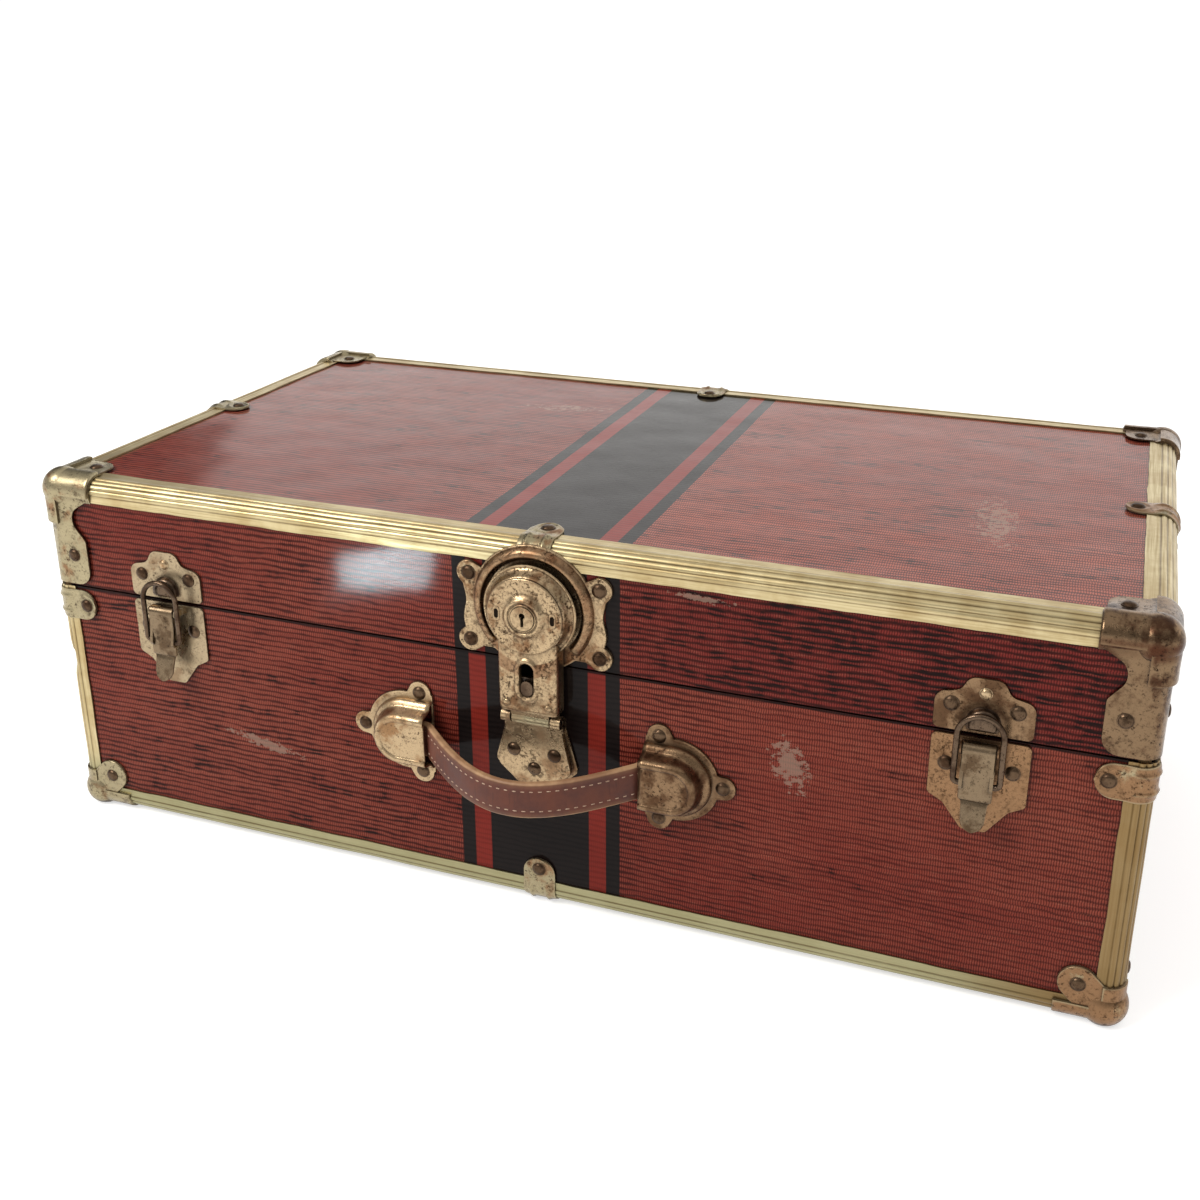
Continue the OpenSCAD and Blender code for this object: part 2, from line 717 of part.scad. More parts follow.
// Hasp: a channel that hangs from the lower plate's hinge and carries the drum

hasp_clear = knuckle_r + 2 * lock_gap;
hasp_skirt = lock_plate_t + 2 * lock_gap;
hasp_in = hasp_h - hasp_t;
slide_z = slot_z - slot_l / 2 + slide_l / 2 + lock_gap;

// An upright oval
function oval(w, l) = rounded([for (q = [[1, -1], [1, 1], [-1, 1], [-1, -1]])
    [q.x * w / 2, q.y * l / 2, w / 2 - bite / 3]]);

module hasp_pin_bore()
    translate([0, hasp_z, hasp_pin_h]) rotate([0, 90, 0])
        cylinder(r = hasp_pin_r + run_fit, h = hasp_w + 2 * past, center = true);

module lock_hasp() color(old_brass) on_front() difference() {
    union() {
        difference() {
            translate([-hasp_w / 2, hasp_z + hasp_clear, hasp_skirt])
                cube([hasp_w, lock_z - hasp_z - hasp_clear, hasp_h - hasp_skirt]);
            translate([hasp_t - hasp_w / 2, hasp_z, 0])
                cube([hasp_w - 2 * hasp_t, lock_z - hasp_z + past, hasp_in]);
            translate([0, lock_z, 0]) rotate_extrude() polygon([
                [0, 0], [drum_r + cap_gap, 0], [drum_r + cap_gap, drum_h2],
                [drum_face_r + cap_gap, drum_h3], [0, drum_h3 + past]]);
        }
        translate([0, hasp_z, hasp_pin_h]) rotate([0, 90, 0])
            cylinder(r = knuckle_r, h = knuckle_w - lock_gap, center = true);
        translate([(lock_gap - knuckle_w) / 2, hasp_z, hasp_pin_h])
            cube([knuckle_w - lock_gap, hasp_clear + 2 * past, hasp_in - hasp_pin_h + bite]);
        translate([0, slot_z, hasp_in]) linear_extrude(hasp_t + past)
            polygon(oval(slot_w + 2 * slot_rim, slot_l + 2 * slot_rim));
    }
    hasp_pin_bore();
    translate([0, slot_z, 0]) linear_extrude(hasp_h + 2 * past) polygon(oval(slot_w, slot_l));
}

module release_slide() color(steel) on_front() translate([0, slide_z, 0]) {
    translate([0, 0, hasp_in - lock_gap - hasp_t]) linear_extrude(hasp_t)
        square([slot_w + 2 * slot_rim, slide_l + slot_rim], center = true);
    translate([0, 0, hasp_in - lock_gap - bite]) linear_extrude(hasp_t + past)
        polygon(oval(slot_w - 2 * lock_gap, slide_l));
}

module hasp_hinge_pin() color(steel) on_front()
    translate([0, hasp_z, hasp_pin_h]) rotate([0, 90, 0])
        cylinder(r = hasp_pin_r, h = hasp_w, center = true);

foot_z = hasp_z - lock_foot;
foot_bevel = lock_foot_w / 2;
foot_rim = 3 * past;
foot_rivets = [[-foot_bevel, hasp_z - lock_foot / 2], [foot_bevel, hasp_z - lock_foot / 2],
               [0, foot_z + foot_bevel]];

// Outline of the lower lock plate, drawn in by a margin
function foot_outline(in) = rounded(both_halves([
    [lock_foot_w - foot_bevel - in / 2, foot_z + in, foot_rim],
    [lock_foot_w - in, foot_z + foot_bevel, foot_rim],
    [lock_foot_w - in, foot_z + foot_bevel + foot_rim, foot_rim],
    [hasp_w / 2 - in / 2, hasp_z - hasp_clear, 0]]));

module lock_base_plate() color(old_brass) on_front() difference() {
    union() {
        translate([0, 0, face_h]) linear_extrude(latch_plate_t) polygon(foot_outline(0));
        translate([0, 0, plate_top - bite]) linear_extrude(lock_dish_h - plate_top + bite)
            polygon(foot_outline(foot_rim));
        for (side = [-1, 1]) {
            arm_w = (hasp_w - knuckle_w - lock_gap) / 2;
            arm_x = side * (hasp_w - arm_w) / 2;
            translate([arm_x, hasp_z, hasp_pin_h]) rotate([0, 90, 0])
                cylinder(r = knuckle_r, h = arm_w, center = true);
            translate([arm_x - arm_w / 2, hasp_z - hasp_clear - foot_rim, face_h])
                cube([arm_w, hasp_clear + foot_rim, lock_dish_h - face_h - bite]);
        }
    }
    hasp_pin_bore();
    for (p = foot_rivets) translate(p) rivet_hole();
}

// Draw latches

keeper_rivets = [[-latch_w / 3, parting_z + keeper_rise / 2], [latch_w / 3, parting_z + keeper_rise / 2],
                 [0, parting_z + keeper_rise * 3 / 4]];
latch_rivets = [[-latch_w / 3, pivot_z - 3 * barrel_r], [latch_w / 3, pivot_z - 3 * barrel_r]];
plate_fillet = 3 * past;
hook_low = parting_z + 3 * past;
hook_high = bar_z - wire_r - past;

module at_latch(side) on_front() translate([side * latch_x, 0, 0]) children();

// A profile in height along the face and height out of it, drawn across the latch
module across(w) rotate([90, 0, 90]) linear_extrude(w, center = true) children();
module pin_across(r, l, z, h)
    translate([0, z, h]) rotate([0, 90, 0]) cylinder(r = r, h = l, center = true);

module latch_keeper(side) color(old_brass) at_latch(side) difference() {
    union() {
        translate([0, 0, face_h]) linear_extrude(latch_plate_t) polygon(rounded(both_halves([
            [latch_w / 2, lid_low + past, plate_fillet],
            [latch_w / 2, parting_z + keeper_rise * 2 / 3, 2 * plate_fillet],
            [latch_w / 4, parting_z + keeper_rise * 3 / 4, 2 * plate_fillet],
            [latch_w / 6, parting_z + keeper_rise, 2 * plate_fillet]])));
        across(lever_w) polygon(rounded([
            [hook_low, plate_top - bite, 0], [hook_high, plate_top - bite, 0],
            [hook_high, hook_h, hook_h / 3], [hook_low, hook_h, hook_h / 3]]));
    }
    for (p = keeper_rivets) translate(p) rivet_hole();
}

module latch_plate(side) color(old_brass) at_latch(side) difference() {
    union() {
        translate([0, 0, face_h]) linear_extrude(latch_plate_t) polygon(rounded(both_halves([
            [latch_w / 8, parting_z - latch_foot, plate_fillet],
            [latch_w / 3, parting_z - latch_foot * 3 / 4, plate_fillet],
            [latch_w / 2, parting_z - latch_foot * 2 / 3, plate_fillet],
            [latch_w / 2, base_top - past, plate_fillet]])));
        for (ear = [-1, 1]) translate([ear * (lever_w / 2 + lever_gap + ear_t / 2), 0, 0]) {
            pin_across(barrel_r - past, ear_t, pivot_z, pivot_h);
            across(ear_t) translate([pivot_z - barrel_r / 2, plate_top - bite])
                square([barrel_r, pivot_h - plate_top + bite]);
        }
    }
    pin_across(pivot_r + run_fit, latch_w, pivot_z, pivot_h);
    for (p = latch_rivets) translate(p) rivet_hole();
}

lever_out = pivot_h + barrel_r - bite;
lever_bend = pivot_z - lever_l * 2 / 3;
lever_end = pivot_z - lever_l;
cheek_t = lever_t;
cheek_end = loop_z - 2 * wire_r - past;

module latch_lever(side) color(old_brass) at_latch(side) difference() {
    union() {
        pin_across(barrel_r, lever_w, pivot_z, pivot_h);
        across(lever_w) polygon([
            [pivot_z, lever_out], [lever_bend, lever_out], [lever_end, lever_out + barrel_r],
            [lever_end, lever_out + barrel_r - lever_t], [lever_bend, lever_out - lever_t],
            [pivot_z, lever_out - lever_t]]);
        for (cheek = [-1, 1]) translate([cheek * (lever_w - cheek_t) / 2, 0, 0])
            across(cheek_t) polygon(rounded([
                [pivot_z, pivot_h - barrel_r / 2, 0], [pivot_z, pivot_h + barrel_r / 2, 0],
                [cheek_end, loop_h + 2 * wire_r, wire_r], [cheek_end, loop_h - 2 * wire_r, wire_r]]));
    }
    pin_across(pivot_r + run_fit, latch_w, pivot_z, pivot_h);
    for (cheek = [-1, 1]) translate([cheek * lever_w / 2, 0, 0])
        pin_across(wire_r + run_fit, 2 * cheek_t, loop_z, loop_h);
}

module latch_loop(side) color(steel) at_latch(side) translate([0, loop_z, loop_h]) {
    foot_r = loop_r / 2;
    foot_in = lever_w / 2 - cheek_t + bite;
    for (half = [0, 1]) flip([1, 0, 0], half == 1) {
        translate([foot_in, 0, 0]) rotate([0, 90, 0]) cylinder(r = wire_r, h = loop_x - foot_r - foot_in);
        translate([loop_x - foot_r, foot_r, 0]) rotate([0, 0, -90]) rotate_extrude(angle = 90)
            translate([foot_r, 0]) circle(r = wire_r);
        translate([loop_x, foot_r, 0]) rotate([-90, 0, 0]) cylinder(r = wire_r, h = loop_l - loop_r - foot_r);
        translate([loop_x - loop_r, loop_l - loop_r, 0]) rotate_extrude(angle = 90)
            translate([loop_r, 0]) circle(r = wire_r);
    }
    translate([0, loop_l, 0]) rotate([0, 90, 0])
        cylinder(r = wire_r, h = 2 * (loop_x - loop_r), center = true);
}

module left_latch_keeper() latch_keeper(-1);
module right_latch_keeper() latch_keeper(1);
module left_latch_plate() latch_plate(-1);
module right_latch_plate() latch_plate(1);
module left_latch_lever() latch_lever(-1);
module right_latch_lever() latch_lever(1);
module left_latch_loop() latch_loop(-1);
module right_latch_loop() latch_loop(1);

module latch_pins() color(steel)
    for (side = [-1, 1]) at_latch(side)
        pin_across(pivot_r, lever_w + 2 * (lever_gap + ear_t), pivot_z, pivot_h);

// Handle

strap_steps = 24;
bracket_x = dome_mid + dome_r / 2;
bracket_t = 2 * past;
bore_l = strap_tail * 3 / 4;
cap_rivets = [[mouth_x + dome_r / 2.5, dome_r + shank_r + rivet_r],
              [mouth_x + dome_l + 2 * rivet_r, 0],
              [mouth_x + dome_r / 2.5, -dome_r - shank_r - rivet_r]];
cap_lug = rivet_r + 4 * past;

// How far the strap has bowed out at x, as a share of the whole bow
function bowed(x) = abs(x) < mouth_x ? cos(90 * x / mouth_x) : 0;
function bow_slope(x) = abs(x) < mouth_x ? bow * PI / 2 / mouth_x * sin(90 * x / mouth_x) : 0;
strap_xs = concat([-tail_x], [for (i = [0:strap_steps]) mouth_x * (2 * i / strap_steps - 1)], [tail_x]);

// A band along the strap: its middle line lowered or raised by share times bowed(x), half its width wide
function strap_band(share, half, leans) = concat(
    [for (x = strap_xs) [x, share * bowed(x) - half * (leans ? norm([1, bow_slope(x)]) : 1)]],
    [for (i = [len(strap_xs) - 1:-1:0]) let (x = strap_xs[i])
        [x, share * bowed(x) + half * (leans ? norm([1, bow_slope(x)]) : 1)]]);

module handle_strap() color(leather) on_front() translate([0, handle_z, 0]) difference() {
    intersection() {
        translate([0, 0, -bow]) linear_extrude(3 * bow) polygon(strap_band(-droop, strap_w / 2, false));
        translate([0, 0, handle_pin_h]) rotate([90, 0, 0]) linear_extrude(4 * strap_w, center = true)
            polygon(strap_band(bow, strap_t / 2, true));
    }
    for (side = [-1, 1]) translate([side * tail_x, 0, handle_pin_h]) rotate([0, 90, 0])
        cylinder(r = handle_pin_r + run_fit, h = 2 * bore_l, center = true);
}

// Half cross-section of the domed cap, drawn in by a sheet thickness
function dome_half(in, low) = [[0, low], [dome_r - in, low], [dome_r - in, dome_h / 4],
    [crown_r + past - in / 2, dome_h - 1.5 * past - in], [crown_r - past - in, dome_h - in],
    [0, dome_h - in]];

module dome(in, low, start) {
    half = dome_half(in, low);
    full = concat(half, [for (i = [len(half) - 2:-1:1]) [-half[i].x, half[i].y]]);
    translate([start, 0, 0]) rotate([90, 0, 90]) linear_extrude(dome_mid - start) polygon(full);
    translate([dome_mid, 0, 0]) rotate([0, 0, -90]) rotate_extrude(angle = 180) polygon(half);
}

module handle_cap(side) color(old_brass) on_front() flip([1, 0, 0], side < 0)
    translate([0, handle_z, 0]) difference() {
        union() {
            dome(0, face_h, mouth_x);
            translate([0, 0, face_h]) linear_extrude(latch_plate_t) {
                polygon(rounded([
                    [mouth_x, cap_rivets[2].y - cap_lug, cap_lug / 2],
                    [cap_rivets[2].x + cap_lug, cap_rivets[2].y - cap_lug, cap_lug / 2],
                    [cap_rivets[1].x, -cap_lug, cap_lug], [cap_rivets[1].x + cap_lug, -cap_lug, cap_lug / 2],
                    [cap_rivets[1].x + cap_lug, cap_lug, cap_lug / 2], [cap_rivets[1].x, cap_lug, cap_lug],
                    [cap_rivets[0].x + cap_lug, cap_rivets[0].y + cap_lug, cap_lug / 2],
                    [mouth_x, cap_rivets[0].y + cap_lug, cap_lug / 2]]));
            }
        }
        difference() {
            dome(dome_t, face_h - past, mouth_x - past);
            translate([bracket_x, -dome_r, face_h]) cube([bracket_t, 2 * dome_r, dome_h]);
        }
        translate([bracket_x - past, 0, handle_pin_h]) rotate([0, 90, 0])
            cylinder(r = handle_pin_r + run_fit, h = bracket_t + 2 * past);
        for (p = cap_rivets) translate(p) rivet_hole();
    }

module handle_cap_left() handle_cap(-1);
module handle_cap_right() handle_cap(1);

module handle_pins() color(steel) on_front()
    for (side = [0, 1]) flip([1, 0, 0], side == 1)
        translate([tail_x - bore_l + past, handle_z, handle_pin_h]) rotate([0, 90, 0])
            cylinder(r = handle_pin_r, h = bracket_x + bracket_t + past - tail_x + bore_l - past);

// Back hinges

knuckles = 5;
knuckle_pitch = hinge_l / knuckles;
leaf_low = hinge_r + lock_gap;
leaf_rivets = [for (x = [-1, 0, 1]) [x * hinge_l / 3, leaf_reach * 2 / 3]];

// One leaf above its pin, with the knuckles that it owns
module leaf(first) difference() {
    union() {
        translate([0, 0, face_h]) linear_extrude(leaf_t) polygon(rounded([
            [-hinge_l / 2, leaf_low, 0], [hinge_l / 2, leaf_low, 0],
            [hinge_l / 2, leaf_reach, plate_fillet], [-hinge_l / 2, leaf_reach, plate_fillet]]));
        for (i = [first:2:knuckles - 1]) translate([(i - (knuckles - 1) / 2) * knuckle_pitch, 0, 0]) {
            pin_across(hinge_r, knuckle_pitch - knuckle_gap, 0, hinge_out);
            translate([(knuckle_gap - knuckle_pitch) / 2, 0, hinge_out - hinge_r + cap_gap])
                cube([knuckle_pitch - knuckle_gap, leaf_low + past, hinge_r / 2]);
        }
    }
    pin_across(hinge_pin_r + run_fit, hinge_l + 2 * past, 0, hinge_out);
    for (p = leaf_rivets) translate(p) rivet_hole();
}

module at_hinges(lid)
    on_back() for (side = [-1, 1]) translate([side * hinge_x, parting_z, 0])
        flip([0, 1, 0], !lid) children();

module hinge_lid_leaves() color(old_brass) at_hinges(true) leaf(1);
module hinge_base_leaves() color(old_brass) at_hinges(false) leaf(0);
module hinge_pins() color(steel) at_hinges(true) pin_across(hinge_pin_r, hinge_l, 0, hinge_out);

// Rivets

module lid_rivets() color(rivet_colour) {
    for (side = [-1, 1], face = [-1, 1]) at_corner(side, face, true) {
        on_walls(leg_rivet, leg_rivet_w) rivet(cap_t);
        on_flat(lug_rivet) rivet(cap_t);
    }
    for (face = [-1, 1]) at_long_edge(face, true) {
        on_first(clamp_rivet, 0) rivet(cap_t);
        if (face > 0) on_second(clamp_rivet, 0) rivet(cap_t);
    }
    for (side = [-1, 1]) at_short_edge(side, true) on_walls(clamp_rivet, 0) rivet(cap_t);
    on_front() for (p = lock_rivets) translate(p) rivet(lock_plate_t);
    for (side = [-1, 1], p = keeper_rivets) at_latch(side) translate(p) rivet(plate_top);
    at_hinges(true) for (p = leaf_rivets) translate(p) rivet(face_h + leaf_t);
}

module base_rivets() color(rivet_colour) {
    for (side = [-1, 1], face = [-1, 1]) at_corner(side, face, false) {
        on_walls(lug_rivet, lug_rivet) rivet(cap_t);
        on_walls(clamp_rivet, clip_z) rivet(cap_t);
    }
    for (face = [-1, 1]) at_long_edge(face, false) on_second(clamp_rivet, 0) rivet(cap_t);
    for (side = [-1, 1]) at_short_edge(side, false) on_second(clamp_rivet, 0) rivet(cap_t);
    on_front() for (p = foot_rivets) translate(p) rivet(lock_dish_h);
    for (side = [-1, 1], p = latch_rivets) at_latch(side) translate(p) rivet(plate_top);
    on_front() for (side = [0, 1]) flip([1, 0, 0], side == 1)
        for (p = cap_rivets) translate([p.x, handle_z + p.y, 0]) rivet(plate_top);
    at_hinges(false) for (p = leaf_rivets) translate(p) rivet(face_h + leaf_t);
}

base_bottom_panel();
base_front_wall();
base_back_wall();
base_left_wall();
base_right_wall();
base_lip();
base_covering();
base_lining();
lid_top_panel();
lid_front_wall();
lid_back_wall();
lid_left_wall();
lid_right_wall();
lid_covering();
lid_lining();
lid_binding_front();
lid_binding_back();
lid_binding_left();
lid_binding_right();
base_binding_front();
base_binding_back();
base_binding_left();
base_binding_right();
base_upright_bindings();
lid_corner_front_left();
lid_corner_front_right();
lid_corner_back_left();
lid_corner_back_right();
base_corner_front_left();
base_corner_front_right();
base_corner_back_left();
base_corner_back_right();
base_corner_clips();
lid_binding_clamps();
base_binding_clamps();
lid_rivets();
base_rivets();
lock_lid_plate();
lock_drum();
lock_hasp();
key_cylinder();
release_slide();
hasp_hinge_pin();
lock_base_plate();
left_latch_keeper();
right_latch_keeper();
left_latch_plate();
right_latch_plate();
left_latch_lever();
right_latch_lever();
left_latch_loop();
right_latch_loop();
latch_pins();
handle_strap();
handle_cap_left();
handle_cap_right();
handle_pins();
hinge_base_leaves();
hinge_lid_leaves();
hinge_pins();
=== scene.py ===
"""Looks of a vintage suitcase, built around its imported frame. Metres, in the frame's own axes."""
import json
import math

import bmesh
import bpy
from mathutils import Matrix, Vector, noise


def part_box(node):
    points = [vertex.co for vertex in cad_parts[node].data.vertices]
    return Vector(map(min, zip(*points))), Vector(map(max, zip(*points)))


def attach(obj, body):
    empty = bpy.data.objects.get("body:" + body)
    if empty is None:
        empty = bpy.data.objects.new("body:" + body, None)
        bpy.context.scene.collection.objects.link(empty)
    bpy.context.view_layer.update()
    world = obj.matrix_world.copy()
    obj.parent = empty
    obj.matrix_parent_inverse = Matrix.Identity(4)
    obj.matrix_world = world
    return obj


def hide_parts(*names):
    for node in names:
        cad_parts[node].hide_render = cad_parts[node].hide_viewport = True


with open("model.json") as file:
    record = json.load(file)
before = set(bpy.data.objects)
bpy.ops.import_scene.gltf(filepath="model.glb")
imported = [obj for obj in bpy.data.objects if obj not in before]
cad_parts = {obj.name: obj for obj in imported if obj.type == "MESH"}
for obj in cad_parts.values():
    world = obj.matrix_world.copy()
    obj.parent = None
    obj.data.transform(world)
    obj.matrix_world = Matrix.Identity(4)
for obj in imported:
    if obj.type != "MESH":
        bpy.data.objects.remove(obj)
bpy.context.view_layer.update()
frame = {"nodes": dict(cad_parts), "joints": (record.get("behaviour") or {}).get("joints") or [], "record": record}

MM = 0.001
AXIS_X, AXIS_Y, AXIS_Z = Vector((1, 0, 0)), Vector((0, 1, 0)), Vector((0, 0, 1))

# Photograph: camera place, angles and lens
CAMERA_AT = Vector((0.28968, -0.80357, 0.50436))
CAMERA_AZIMUTH = math.radians(19.6215)
CAMERA_ELEVATION = math.radians(20.4719)
CAMERA_ROLL = math.radians(0.3098)
IMAGE_SIZE = 1200
FOCAL_PIXELS = 1398.58
CENTRE_PIXEL = (634.73, 527.17)
SENSOR = 36

# Places taken from the frame
COVER_LOW, COVER_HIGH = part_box("base_covering")
LID_LOW, LID_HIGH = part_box("lid_covering")
FRONT, PARTING, TOP = COVER_LOW.y, COVER_HIGH.z, LID_HIGH.z


def joint_place(name):
    return Vector(next(joint for joint in frame["joints"] if joint["name"] == name)["pos_m"])


LOCK = joint_place("key_turn")
HASP = joint_place("hasp_hinge")
PIVOT = joint_place("handle_swing")

# Planes of the bindings' outer faces: name, axis, place and direction into the case
BINDING_T = 1 * MM
PLANE_FRONT = FRONT - BINDING_T
PLANE_LOW, PLANE_TOP = COVER_LOW.z - BINDING_T, TOP + BINDING_T
PLANES = (
    ("left", 0, COVER_LOW.x - BINDING_T, AXIS_X), ("right", 0, COVER_HIGH.x + BINDING_T, -AXIS_X),
    ("front", 1, PLANE_FRONT, AXIS_Y), ("back", 1, COVER_HIGH.y + BINDING_T, -AXIS_Y),
    ("bottom", 2, PLANE_LOW, AXIS_Z), ("top", 2, PLANE_TOP, -AXIS_Z))
ENDS, FACES = PLANES[:2], PLANES[2:4]


# Shader building

def srgb(red, green, blue):
    """A colour written as it shows on a screen, 0 to 255, as the linear colour that a shader takes."""
    def linear(value):
        value /= 255
        return value / 12.92 if value <= 0.04045 else ((value + 0.055) / 1.055) ** 2.4
    return (linear(red), linear(green), linear(blue), 1)


class Shader:
    """A material or world under construction, with short names for the nodes that its patterns use."""

    def __init__(self, name, tone=(255, 255, 255), blocks=bpy.data.materials, surface="Principled BSDF"):
        self.material = blocks.new(name)
        self.material.use_nodes = True
        self.tree = self.material.node_tree
        self.surface = self.tree.nodes[surface]
        self.colour = srgb(*tone)

    def feed(self, socket, value):
        if isinstance(value, bpy.types.NodeSocket):
            self.tree.links.new(value, socket)
        else:
            socket.default_value = value

    def set(self, **inputs):
        for name, value in inputs.items():
            self.feed(self.surface.inputs[name.replace("_", " ")], value)

    def node(self, kind, inputs=(), output=0, **settings):
        made = self.tree.nodes.new(kind)
        for name, value in settings.items():
            setattr(made, name, value)
        for key, value in dict(inputs).items():
            self.feed(made.inputs[key], value)
        return made.outputs[output]

    def math(self, operation, *values):
        return self.node("ShaderNodeMath", enumerate(values), operation=operation)

    def add(self, first, *others):
        for other in others:
            first = self.math("ADD", first, other)
        return first

    def times(self, first, *others):
        for other in others:
            first = self.math("MULTIPLY", first, other)
        return first

    def step(self, value, low, high, to_low=0.0, to_high=1.0):
        """A smooth change from to_low to to_high as value goes from low to high."""
        inputs = {"Value": value, "From Min": low, "From Max": high, "To Min": to_low, "To Max": to_high}
        return self.node("ShaderNodeMapRange", inputs, interpolation_type="SMOOTHSTEP")

    def fall(self, value, low, high, start=1.0):
        """A smooth fall from start to 0 as value goes from low to high."""
        return self.step(value, low, high, start, 0.0)

    def mix(self, share, a, b):
        return self.node("ShaderNodeMix", {0: share, 6: a, 7: b}, output=2, data_type="RGBA")

    def paint(self, share, tone):
        """Lays a tone, written as it shows on a screen, over the colour so far."""
        self.colour = self.mix(share, self.colour, srgb(*tone))

    def place(self):
        return self.node("ShaderNodeTexCoord", output=3)

    def lengths(self):
        """The two lengths in metres that sheets and strips carry."""
        return self.node("ShaderNodeUVMap", uv_map="weave")

    def split(self, vector):
        made = self.tree.nodes.new("ShaderNodeSeparateXYZ")
        self.feed(made.inputs[0], vector)
        return made.outputs

    def mapped(self, vector, kind="POINT", **inputs):
        return self.node("ShaderNodeMapping", {"Vector": vector, **inputs}, vector_type=kind)

    def noise(self, vector, scale=1.0, detail=2.0, rough=0.5):
        """Soft noise, stretched where its scale has three numbers."""
        if isinstance(scale, tuple):
            vector, scale = self.mapped(vector, Scale=scale), 1.0
        inputs = {"Vector": vector, "Scale": scale, "Detail": detail, "Roughness": rough}
        return self.node("ShaderNodeTexNoise", inputs)

    def shade_and_grime(self, reach):
        """1 in the open, 0 deep in a crevice; the darkening read from it is painted shade together with soiling.
        """
        return self.node("ShaderNodeAmbientOcclusion", {"Distance": reach}, output=1, samples=4)

    def attribute(self, name):
        return self.node("ShaderNodeAttribute", output=2, attribute_name=name)

    def rays(self):
        return self.tree.nodes.new("ShaderNodeLightPath").outputs

    def seen(self, ray):
        """1 for the rays that see or mirror a surface, 0 for those that only gather light."""
        mirrored = self.math("MAXIMUM", ray["Is Glossy Ray"], ray["Is Transmission Ray"])
        return self.math("MAXIMUM", ray["Is Camera Ray"], mirrored)

    def surfaced(self, roughness, height, depth, strength, **inputs):
        """Gives the surface its colour, roughness and relief, and hands over the material."""
        relief = self.node("ShaderNodeBump", {"Height": height, "Distance": depth, "Strength": strength})
        self.set(Base_Color=self.colour, Roughness=roughness, Normal=relief, **inputs)
        return self.material


# Materials

ROW_PITCH = 3.5 * MM
THREAD_PITCH = 1.34 * MM
BAND_HALF = 50.25 * MM
STRIPE_IN = 31.25 * MM
STRIPE_OUT = 41.75 * MM
STRIPE_SOFT = 0.25 * MM

# Pale rubs on the covering: middle, half size, turn about the axis out of the face and how solid they are
SCUFFS = [
    ((-0.185, FRONT, 0.0715), (0.027, 0.004, 0.0036), (0, 0.2, 0), 0.85),
    ((0.1475, FRONT, 0.1225), (0.009, 0.004, 0.016), (0, -0.35, 0), 0.85),
    ((0.0975, FRONT, 0.212), (0.02, 0.004, 0.0022), (0, 0.08, 0), 0.7),
    ((0.232, FRONT + 0.125, TOP), (0.02, 0.06, 0.004), (0, 0, 0.12), 0.42),
    ((-0.09, FRONT + 0.26, TOP), (0.05, 0.014, 0.004), (0, 0, 0.2), 0.36)]


